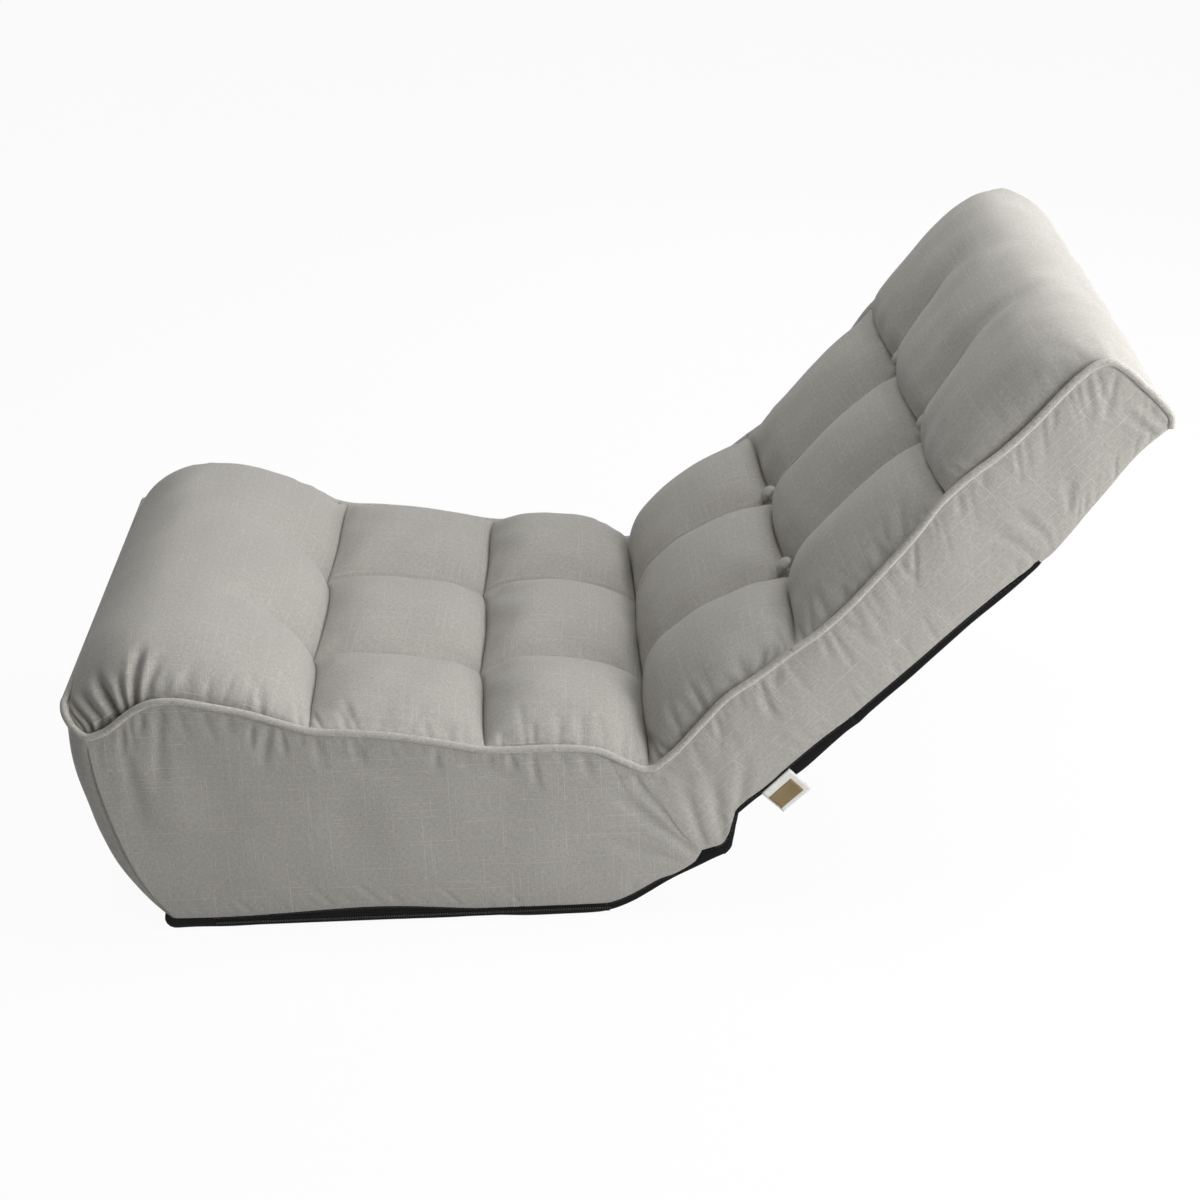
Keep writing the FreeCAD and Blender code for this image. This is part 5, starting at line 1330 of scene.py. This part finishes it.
def sheaths(finish: Finishes) -> None:
    """Makes the black linings and the head's grey rear panel."""
    base_floor = ((-223.5, 12), (-221.5, 5), (-217, 1), (-212, 0.3), (-205, 0.3), (-190, 0.3), (0, 0.3),
                  (180, 0.3), (200, 0.3), (210, 1.0), (220, 3.5), (240, 12), (257.5, 22), (288.5, 41),
                  (318.5, 56), (333.5, 63))
    base_edge = ((-222, 26), (-218, 28), (-212, 29), (-205, 30), (-150, 30), (-70, 36), (0, 38), (80, 26),
                 (130, 19), (200, 19), (232, 32), (250, 42), (280, 59), (305, 78), (318, 90))
    linings = (
        Sheath("base_lining", ("seat_base_cloth",), Hinge.LOW, "black_lining", base_edge, base_floor,
               (0.57, 0.585), 120),
        Sheath("hinge_gusset_lining", ("hinge_gusset",), Hinge.LOW, "black_lining",
               ((310, 78), (313, 82), (318, 90), (323, 100), (334, 122)),
               ((333.5, 63), (338, 68), (341.5, 80), (344, 95), (345.5, 109)), (0.6, 0.055), 20),
        Sheath("back_lining_low", ("back_rear_cloth",), Hinge.LOW, "black_lining",
               ((334, 122), (384, 174), (420, 207), (444, 228)),
               ((345.5, 109), (366, 126.5), (404, 150), (443.5, 187), LINING_SEAM), (0.57, 0.15), 30),
        Sheath("back_lining_high", ("back_rear_cloth", "neck_gusset"), Hinge.HIGH, "black_lining",
               ((444, 228), (470, 250), (552, 328), (600, 374), (634, 408), (648, 422)),
               (LINING_SEAM, (481, 222), (518.5, 258.5), (555.5, 294.5), (591.5, 328.5), (617, 352),
                (627, 363), (634, 378), (640, 392), (650, 414)), (0.57, 0.29), 60),
    )
    for lining in linings:
        lining.build(finish.lining)
    Sheath("head_rear_cover", ("head_rear_panel",), Hinge.HIGH, "linen_cover",
           ((650, 415), (675, 444), (712, 486), (731, 504)),
           ((655.5, 411), (678, 437), (717, 479), (735.5, 497.5)), (0.56, 0.12), 40,
           waves=1.2).build(finish.cover)


# Piping


@dataclass
class Piping:
    """Corded edge: a bias strip sewn round a cord, from the front of the seat over the head."""

    step: float = 3.0
    lift: float = 1.0
    far_drop: float = 2.2
    bend: float = 30.0
    front_y: float = FRONT_TOP[0] - 2.0
    front_z: float = 245.0
    dip: float = 22.0

    def side_paths(self, side: int) -> tuple:
        """The cord's middle up one side, a little proud of the seam, cut in two at the lumbar seam."""
        rim = ((-274.5, 221.5), *ROLL_RIM[3:], *FRONT_ROW_RIM[1:], *REAR_ROW_RIM[1:], *LUMBAR_RIM[1:],
               *UPPER_RIM[1:], *HEAD_RIM[1:])
        flat = smooth_line(rim, 1600)
        flat = along_line(flat, np.linspace(0, 1, int(arc_lengths(flat[None], 1)[0, -1] / self.step)))
        cut = int(np.argmin(np.linalg.norm(flat - np.asarray(LUMBAR_SEAM), axis=1)))
        flat = lowered(flat, np.full(len(flat), -self.lift if side > 0 else self.far_drop))
        path = np.concatenate([np.full((len(flat), 1), side * PIPING_OUT), flat], axis=1)
        return path[: cut + 3], path[cut:]

    def front_path(self) -> np.ndarray:
        """The cord's middle across the front, from the right corner's dip to the left one's."""
        r = self.bend
        turn = np.linspace(0, np.pi / 2, 14)
        start = PIPING_OUT - r
        corner_x = start + r * np.sin(turn)
        corner_y = self.front_y + r * (1 - np.cos(turn))
        corner_z = self.front_z - self.dip * ramp(turn, 0.0, np.pi / 2)
        half = np.stack([corner_x, corner_y, corner_z], 1)
        across = np.linspace(-start, start, 160)
        middle = np.stack([across, np.full(160, self.front_y), np.full(160, self.front_z)], 1)
        mirrored = half[::-1] * np.array([-1, 1, 1])
        return np.concatenate([mirrored, middle[1:-1], half])

    def build(self, finish: Finishes) -> None:
        """Makes the seat's cord in one piece, and one cord up each side of the back and head."""
        left, right = self.side_paths(1)[0], self.side_paths(-1)[0]
        path = np.concatenate([right[::-1], self.front_path()[1:-1], left])
        kept = [path[:1], path[1:-1:4], path[-1:]]
        path = smooth_line(np.concatenate(kept), len(path))
        # The cords wear the bias linen, whose lighter colour is a painted highlight
        seat = dress(tube("seat_piping_cord", path, PIPING_RADIUS), finish.bias)
        fasten(seat, Hinge.LOW, "linen_piping", "seat_piping_left", "seat_piping_right", "seat_piping_front",
               "crease_piping")
        for side, end in SIDES:
            cord = tube(f"back_piping_cord_{end}", self.side_paths(side)[1], PIPING_RADIUS + 0.06)
            dress(cord, finish.bias)
            fasten(cord, Hinge.HIGH, "linen_piping", f"back_piping_{end}", f"head_piping_{end}",
                   "neck_piping")


# Buttons, tag and hidden pieces


@dataclass
class TuftButtons:
    """Four covered buttons that pull the column seams in, at the lumbar and neck seams."""

    radius: float = 10.0
    height: float = 7.0
    lift: float = 12.5
    pleats: int = 9
    pleat_depth: float = 0.03

    def one(self, name: str, x: float, place: tuple, angle: float) -> bpy.types.Object:
        """A covered button: a dome with a soft rim and a few radial pleats under it."""
        rings = ((0.0, 1.0), (0.25, 0.98), (0.5, 0.9), (0.72, 0.76), (0.88, 0.55), (0.97, 0.3), (1.0, 0.05),
                 (0.95, -0.12), (0.7, -0.2), (0.3, -0.2))
        turn = np.linspace(0, 2 * np.pi, 28, endpoint=False)
        points, faces = [], []
        for r, h in rings:
            pleat = 1 + self.pleat_depth * np.sin(self.pleats * turn) * (r > 0.8)
            wide = self.radius * max(r, 0.01) * pleat
            high = np.full(len(turn), self.height * h)
            points.append(np.stack([wide * np.cos(turn), wide * np.sin(turn), high], 1))
        count = len(turn)
        for i in range(len(rings) - 1):
            for k in range(count):
                a, b = i * count + k, i * count + (k + 1) % count
                faces.append([a, a + count, b + count, b])
        faces.append(list(range(count))[::-1])
        faces.append(list(range((len(rings) - 1) * count, len(rings) * count)))
        local = np.concatenate(points)
        a = math.radians(angle)
        along, out = np.array([0, math.cos(a), math.sin(a)]), np.array([0, -math.sin(a), math.cos(a)])
        centre = np.array([x, *place]) + out * self.lift
        world = centre + local[:, :1] * np.array([1.0, 0, 0]) + local[:, 1:2] * along + local[:, 2:] * out
        return make_object(name, world, outward(world, faces), local[:, :2] * MM)

    def build(self, finish: Finishes) -> None:
        """Makes the four buttons, each on the body that carries its seam."""
        rows = (("lumbar", LUMBAR_CROSSING, 46, "back"), ("neck", NECK_CROSSING, 50, Hinge.HIGH))
        for row, place, angle, to in rows:
            for side, end in SIDES:
                button = self.one(f"{row}_button_{end}", side * COLUMN_SEAM, place, angle)
                dress(subdivide(button), finish.cover)
                fasten(button, to, "linen_button", "tuft_buttons")


@dataclass
class SideTag:
    """A folded white tape tag in the back's lower seam, with a plain brown patch woven in."""

    width: float = 38.0
    drop: float = 30.0
    along: float = 85.0
    seam_out: float = -13.0
    thick: float = 0.7
    patch_thick: float = 0.5
    curl: float = 1.2
    curl_length: float = 11.0
    flare: float = 0.05
    stations: int = 14

    def sheet(self, name: str, low: tuple, high: tuple, x: float, thick: float) -> bpy.types.Object:
        """A thin curved rectangle between two places given along the back and away from its rear face."""
        along = np.linspace(low[0], high[0], self.stations)[None] * np.ones((self.stations, 1))
        drop = np.linspace(low[1], high[1], self.stations)[:, None] * np.ones((1, self.stations))
        a = math.radians(BACK_ANGLE)
        out = self.seam_out - drop
        y = SEAT_HINGE[0] + along * math.cos(a) - out * math.sin(a)
        z = SEAT_HINGE[1] + along * math.sin(a) + out * math.cos(a)
        wave = self.curl * np.sin((along - self.along) / self.curl_length) * (drop / self.drop)
        outer = np.stack([x + wave + self.flare * drop, y, z], axis=2)
        inner = outer - np.array([thick, 0, 0])
        weave = np.stack([along, drop], axis=2) * MM
        return Pad(name, outer, inner, weave, rings=(0.5,)).build()

    def build(self, finish: Finishes) -> None:
        """Makes the tape and its patch."""
        low, high = self.along - self.width / 2, self.along + self.width / 2
        tape = self.sheet("blank_tape_tag", (low, 0), (high, self.drop), HALF_WIDTH + 1.6, self.thick)
        fasten(dress(tape, finish.tape), "back", "tag", "blank_tag")
        patch = self.sheet("tag_patch", (low + 1.5, 8.4), (high - 6.5, self.drop - 4), HALF_WIDTH + 1.85,
                           self.patch_thick)
        fasten(dress(patch, finish.patch), "back", "tag")


@dataclass
class Upholstery:
    """The foam cores inside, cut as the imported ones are, with their channels."""

    def build(self, frame: dict, finish: Finishes) -> None:
        """Makes both cores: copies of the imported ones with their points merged."""
        for body in ("seat", "back"):
            mesh = frame["nodes"][f"{body}_foam_core"].data.copy()
            mesh.name = f"{body}_foam"
            made = linked(mesh.name, mesh)
            weld(made)
            made.data.vertices.foreach_set("co", (out_of_square(points_of(made)) * MM).ravel())
            dress(made, finish.foam)
            fasten(made, body, "foam", f"{body}_foam_core")


class Pawls(Enum):
    """The two hinges' pawls: the body that holds them, then their spring's fixed end and pushed end."""

    BACK = ("seat", (271.5, 81.2), (285.0, 79.4))
    HEAD = ("back", (578.0, 376.2), (592.0, 377.7))


@dataclass
class LeafSprings:
    """Four leaf springs, each with one end riveted and the other pushed by its pawl."""

    def one(self, node: bpy.types.Object, place: Pawls, side: int, end: str, finish: Finishes) -> None:
        """Makes a copy of one side's spring that bends from the bracket to the pawl."""
        points = points_of(node)
        faces = [list(face.vertices) for face in node.data.polygons]
        faces = [face for face in faces if all(points[k, 0] * side > 0 for k in face)]
        used = sorted({k for face in faces for k in face})
        number = {k: i for i, k in enumerate(used)}
        made = make_object(f"{place.name.lower()}_spring_{end}", points[used],
                           [[number[k] for k in face] for face in faces], points[used, :2] * MM)
        weld(made)
        dress(made, finish.spring)
        holder, fixed, pushed = place.value
        pawl = f"{place.name.lower()}_pawl_{end}_body"
        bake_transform(made, holder, pawl, start=(0, *(np.array(fixed) * MM)), end=(0, *(np.array(pushed) * MM)))
        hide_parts(f"{place.name.lower()}_pawl_springs")
        LOG.info("%s: %d faces, bends between %s and %s", made.name, len(made.data.polygons), holder, pawl)

    def build(self, frame: dict, finish: Finishes) -> None:
        """Makes all four."""
        for place in Pawls:
            node = frame["nodes"][f"{place.name.lower()}_pawl_springs"]
            for side, end in SIDES:
                self.one(node, place, side, end, finish)


@dataclass
class SteelFrame:
    """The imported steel, which keeps its own meshes: enamelled tubes and zinc-plated hinge parts."""

    tubes: tuple = ("tube", "head_frame", "seat_frame")

    def build(self, frame: dict, finish: Finishes) -> None:
        """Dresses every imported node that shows."""
        for name, node in frame["nodes"].items():
            if node.hide_render:
                continue
            material = finish.enamel if any(word in name for word in self.tubes) else finish.zinc
            dress(node, material)
            LOG.info("%s dressed in %s", name, material.name)


# Stitches


class Link(Enum):
    """What is repeated along a line."""

    STITCH = "stitch"
    TOOTH = "tooth"


@dataclass
class StitchRun:
    """A row of equal stitches or teeth along a line, set out by Geometry Nodes."""

    name: str
    link: Link
    spacing: float
    length: float
    radius: float
    slant: float = 0.0

    def tree(self) -> bpy.types.NodeTree:
        """Builds the tree: resample the line, put a stitch on each point, realize, set the material."""
        tree = bpy.data.node_groups.new(f"{self.name}_tree", "GeometryNodeTree")
        sockets = (("Line", "Geometry"), ("Spacing", "Float"), ("Length", "Float"), ("Radius", "Float"),
                   ("Slant", "Float"), ("Material", "Material"))
        for name, kind in sockets:
            tree.interface.new_socket(name, in_out="INPUT", socket_type=f"NodeSocket{kind}")
        tree.interface.new_socket("Stitches", in_out="OUTPUT", socket_type="NodeSocketGeometry")

        def step(kind: str, inputs: dict = None, **settings):
            """The first output of a new node."""
            return add(tree, kind, inputs, **settings).outputs[0]

        given = add(tree, "NodeGroupInput").outputs
        curve = step("GeometryNodeMeshToCurve", {0: given["Line"]})
        inputs = {"Curve": curve, "Length": given["Spacing"]}
        points = step("GeometryNodeResampleCurve", inputs, mode="LENGTH")
        tangent = step("GeometryNodeInputTangent")
        turned = step("FunctionNodeAlignRotationToVector", {"Vector": tangent}, axis="Z")
        odd = maths(tree, "MODULO", step("GeometryNodeInputIndex"), 2.0)
        side = maths(tree, "MULTIPLY_ADD", odd, 2.0, -1.0)
        lean = maths(tree, "MULTIPLY", side, given["Slant"])
        tilt = step("ShaderNodeCombineXYZ", {"X": lean, "Y": lean})
        rotation = step("FunctionNodeEulerToRotation", {0: tilt})
        both = step("FunctionNodeRotateRotation", {0: turned, 1: rotation}, rotation_space="LOCAL")
        radius = given["Radius"]
        size = step("ShaderNodeCombineXYZ", {"X": radius, "Y": radius, "Z": given["Length"]})
        if self.link is Link.STITCH:
            shape = step("GeometryNodeMeshUVSphere", {"Segments": 6, "Rings": 4, "Radius": 1.0})
        else:
            shape = step("GeometryNodeMeshCube", {"Size": (2.0, 2.0, 1.0)})
        inputs = {"Points": points, "Instance": shape, "Rotation": both, "Scale": size}
        real = step("GeometryNodeRealizeInstances", {0: step("GeometryNodeInstanceOnPoints", inputs)})
        dressed = step("GeometryNodeSetMaterial", {"Geometry": real, "Material": given["Material"]})
        add(tree, "NodeGroupOutput", {0: dressed})
        return tree

    def build(self, lines: list, material: bpy.types.Material) -> bpy.types.Object:
        """Sets the stitches out along lines.

        Args:
            lines: each a list of points in millimetres.
            material: the thread or teeth.

        Returns:
            One plain mesh object.
        """
        mesh = bpy.data.meshes.new(self.name)
        points, edges = [], []
        for line in lines:
            start = len(points)
            points += (np.asarray(line) * MM).tolist()
            edges += [(start + i, start + i + 1) for i in range(len(line) - 1)]
        mesh.from_pydata(points, edges, [])
        made = linked(self.name, mesh)
        step = made.modifiers.new("Stitches", "NODES")
        step.node_group = self.tree()
        values = {"Spacing": self.spacing * MM, "Length": self.length * MM, "Radius": self.radius * MM,
                  "Slant": self.slant, "Material": material}
        for item in step.node_group.interface.items_tree:
            if item.in_out == "INPUT" and item.name in values:
                step[item.identifier] = values[item.name]
        return bake(made)


@dataclass
class Stitching:
    """Topstitches beside the column seams, the lining's overlocked edge and the zip."""

    offset: float = 4.5
    stations: int = 200
    trimmed: int = 14
    zip_stations: int = 60

    def seam_lines(self, cushion: Cushion, made: bpy.types.Object) -> list:
        """Lines on a finished cushion that run just beside its two column seams.

        Args:
            cushion: how the piece was laid out.
            made: the finished piece, whose first points are still the shown grid's.

        Returns:
            One line of points for each seam.
        """
        x = cushion.cross_points()
        rows = len(cushion.shares)
        grid = points_of(made)[: rows * len(x)].reshape(rows, len(x), 3)
        n = normals(grid)
        lines = []
        for target in (-COLUMN_SEAM - self.offset, COLUMN_SEAM + self.offset):
            column = int(np.argmin(np.abs(x - target)))
            lines.append((grid[:, column] + 0.15 * n[:, column])[3:-3])
        return lines

    def build(self, tops: list, finish: Finishes) -> None:
        """Makes every run.

        Args:
            tops: pairs of a cushion's layout and its finished piece.
            finish: the materials.
        """
        for cushion, made in tops:
            run = StitchRun(f"{cushion.name}_topstitch", Link.STITCH, spacing=4.0, length=1.5, radius=0.38)
            row = run.build(self.seam_lines(cushion, made), finish.thread)
            fasten(row, cushion.to, "linen_cover")
        edges = (("seat", SEAT_EDGE, Hinge.LOW), ("lumbar", LUMBAR_EDGE, Hinge.LOW),
                 ("upper", UPPER_EDGE[:6], Hinge.HIGH))
        for name, edge, to in edges:
            flat = (smooth_line(edge, self.stations) + (0.6, -1.2))[self.trimmed : -self.trimmed]
            lines = []
            for side, _ in SIDES:
                x = np.full((len(flat), 1), side * (HALF_WIDTH + 0.2))
                lines.append(np.concatenate([x, flat], axis=1))
            run = StitchRun(f"{name}_overlock", Link.STITCH, spacing=2.6, length=2.1, radius=0.55, slant=0.5)
            fasten(run.build(lines, finish.dark_thread), to, "black_lining")
        self.zip(finish)

    def zip(self, finish: Finishes) -> None:
        """A coil zip on the lining's left flange: its tape, and its teeth in a row along the middle."""
        low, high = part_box("base_zip")
        count = self.zip_stations
        y = np.linspace(low.y, high.y, count) / MM
        z = np.linspace(4.5, 13.0, 7)[:, None] * np.ones((1, count))
        face = np.stack([np.full(z.shape, HALF_WIDTH + 1.3), np.broadcast_to(y, z.shape), z], axis=2)
        face[..., 0] -= 0.5 * np.abs(z - 7.2) / 5
        weave = face[..., 1:] * MM
        tape = Pad("zip_tape", face, face - np.array([1.2, 0, 0]), weave, rings=(0.5,)).build()
        fasten(dress(tape, finish.lining), "seat", "zip", "base_zip")
        line = np.stack([np.full(count, HALF_WIDTH + 1.5), y, np.full(count, 8.7)], axis=1)
        teeth = StitchRun("zip_teeth", Link.TOOTH, spacing=2.4, length=1.4, radius=0.9)
        fasten(teeth.build([line], finish.zip), "seat", "zip")


# Studio and camera


@dataclass(frozen=True)
class Lamp:
    """One soft box, aimed at the chair's middle."""

    name: str
    place: tuple
    size: float
    watts: float
    target: tuple = (0.0, 0.2, 0.2)

    def build(self) -> None:
        """Makes the lamp and turns it to its target."""
        data = bpy.data.lights.new(self.name, "AREA")
        data.shape = "SQUARE"
        data.size = self.size
        data.energy = self.watts
        made = linked(self.name, data)
        made.location = self.place
        toward = Vector(self.target) - Vector(self.place)
        made.rotation_euler = toward.to_track_quat("-Z", "Y").to_euler()


@dataclass
class Studio:
    """A pale floor, a white room and soft boxes."""

    lamps: tuple = (
        Lamp("near_box", (1.46, 1.66, 0.95), 1.2, 25.0),
        Lamp("rear_box", (0.0, 2.27, 0.95), 1.2, 20.0),
        Lamp("high_rear_box", (0.0, 1.61, 1.89), 1.2, 19.0),
        Lamp("top_box", (0.0, 0.2, 2.4), 1.5, 19.0),
        Lamp("far_box", (-1.9, 0.6, 1.1), 1.2, 7.0),
        Lamp("front_box", (0.0, -1.87, 0.95), 1.2, 3.5),
    )
    world_strength: float = 0.02
    floor_share: float = 0.95
    floor_reach: float = 6.0

    def seen(self, tree: bpy.types.NodeTree):
        """1 for rays from the camera, a mirror or glass, and 0 for the light that falls on the chair."""
        path = add(tree, "ShaderNodeLightPath").outputs
        either = maths(tree, "MAXIMUM", path["Is Camera Ray"], path["Is Glossy Ray"])
        return maths(tree, "MAXIMUM", either, path["Is Transmission Ray"])

    def build(self) -> None:
        """Makes the floor, the world and the lamps."""
        world = bpy.data.worlds.new("white_room")
        bpy.context.scene.world = world
        tree = emptied(world)
        limits = {"To Min": self.world_strength, "To Max": 1.0}
        strength = add(tree, "ShaderNodeMapRange", {"Value": self.seen(tree), **limits}).outputs[0]
        back = add(tree, "ShaderNodeBackground", {"Color": linear("#ffffff"), "Strength": strength})
        add(tree, "ShaderNodeOutputWorld", {"Surface": back.outputs[0]})
        mesh = bpy.data.meshes.new("studio_floor")
        far = self.floor_reach
        mesh.from_pydata([(-far, -far, 0), (far, -far, 0), (far, far, 0), (-far, far, 0)], [], [(0, 1, 2, 3)])
        floor = linked("studio_floor", mesh)
        paper = bpy.data.materials.new("matt_white_paper")
        tree = emptied(paper)
        matt = add(tree, "ShaderNodeBsdfDiffuse", {"Color": linear("#f0f0f0")})
        glow = add(tree, "ShaderNodeEmission", {"Color": linear("#ffffff"), "Strength": 1.0})
        share = maths(tree, "MULTIPLY", self.seen(tree), self.floor_share)
        both = add(tree, "ShaderNodeMixShader", {0: share, 1: matt.outputs[0], 2: glow.outputs[0]})
        add(tree, "ShaderNodeOutputMaterial", {"Surface": both.outputs[0]})
        floor.data.materials.append(paper)
        for lamp in self.lamps:
            lamp.build()
        bpy.context.scene.view_settings.view_transform = "Standard"


@dataclass
class Camera:
    """The photograph's viewpoint: from the sitter's left, above and level with the crease."""

    place: tuple = (2.2681, 0.1959, 1.3340)
    forward: tuple = (-0.89684, 0.00956, -0.44227)
    up: tuple = (-0.44162, 0.03864, 0.89639)
    lens: float = 72.0
    sensor: float = 36.0

    def build(self) -> None:
        """Makes the camera and makes it the scene's own."""
        data = bpy.data.cameras.new("camera")
        data.lens = self.lens
        data.sensor_width = self.sensor
        made = linked("camera", data)
        forward, up = Vector(self.forward).normalized(), Vector(self.up)
        right = forward.cross(up).normalized()
        up = right.cross(forward)
        turn = Matrix((right, up, -forward)).transposed()
        made.matrix_world = Matrix.Translation(self.place) @ turn.to_4x4()
        bpy.context.scene.camera = made


def main() -> None:
    """Builds the chair's pieces in order and reports each."""
    logging.basicConfig(level=logging.INFO, format="%(message)s")
    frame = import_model()
    Camera().build()
    Studio().build()
    finish = Finishes()
    Upholstery().build(frame, finish)
    rows = (front_roll(), seat_front_row(), seat_rear_row(), lumbar_row(), upper_row(), head_roll())
    tops = [(cushion, cushion.build(finish)) for cushion in rows]
    for side, end in SIDES:
        for cover in side_covers(side, end):
            cover.build(finish)
    FrontCover().build(finish)
    sheaths(finish)
    Piping().build(finish)
    TuftButtons().build(finish)
    SideTag().build(finish)
    Stitching().build(tops[1:5], finish)
    LeafSprings().build(frame, finish)
    SteelFrame().build(frame, finish)


if __name__ == "__main__":
    main()
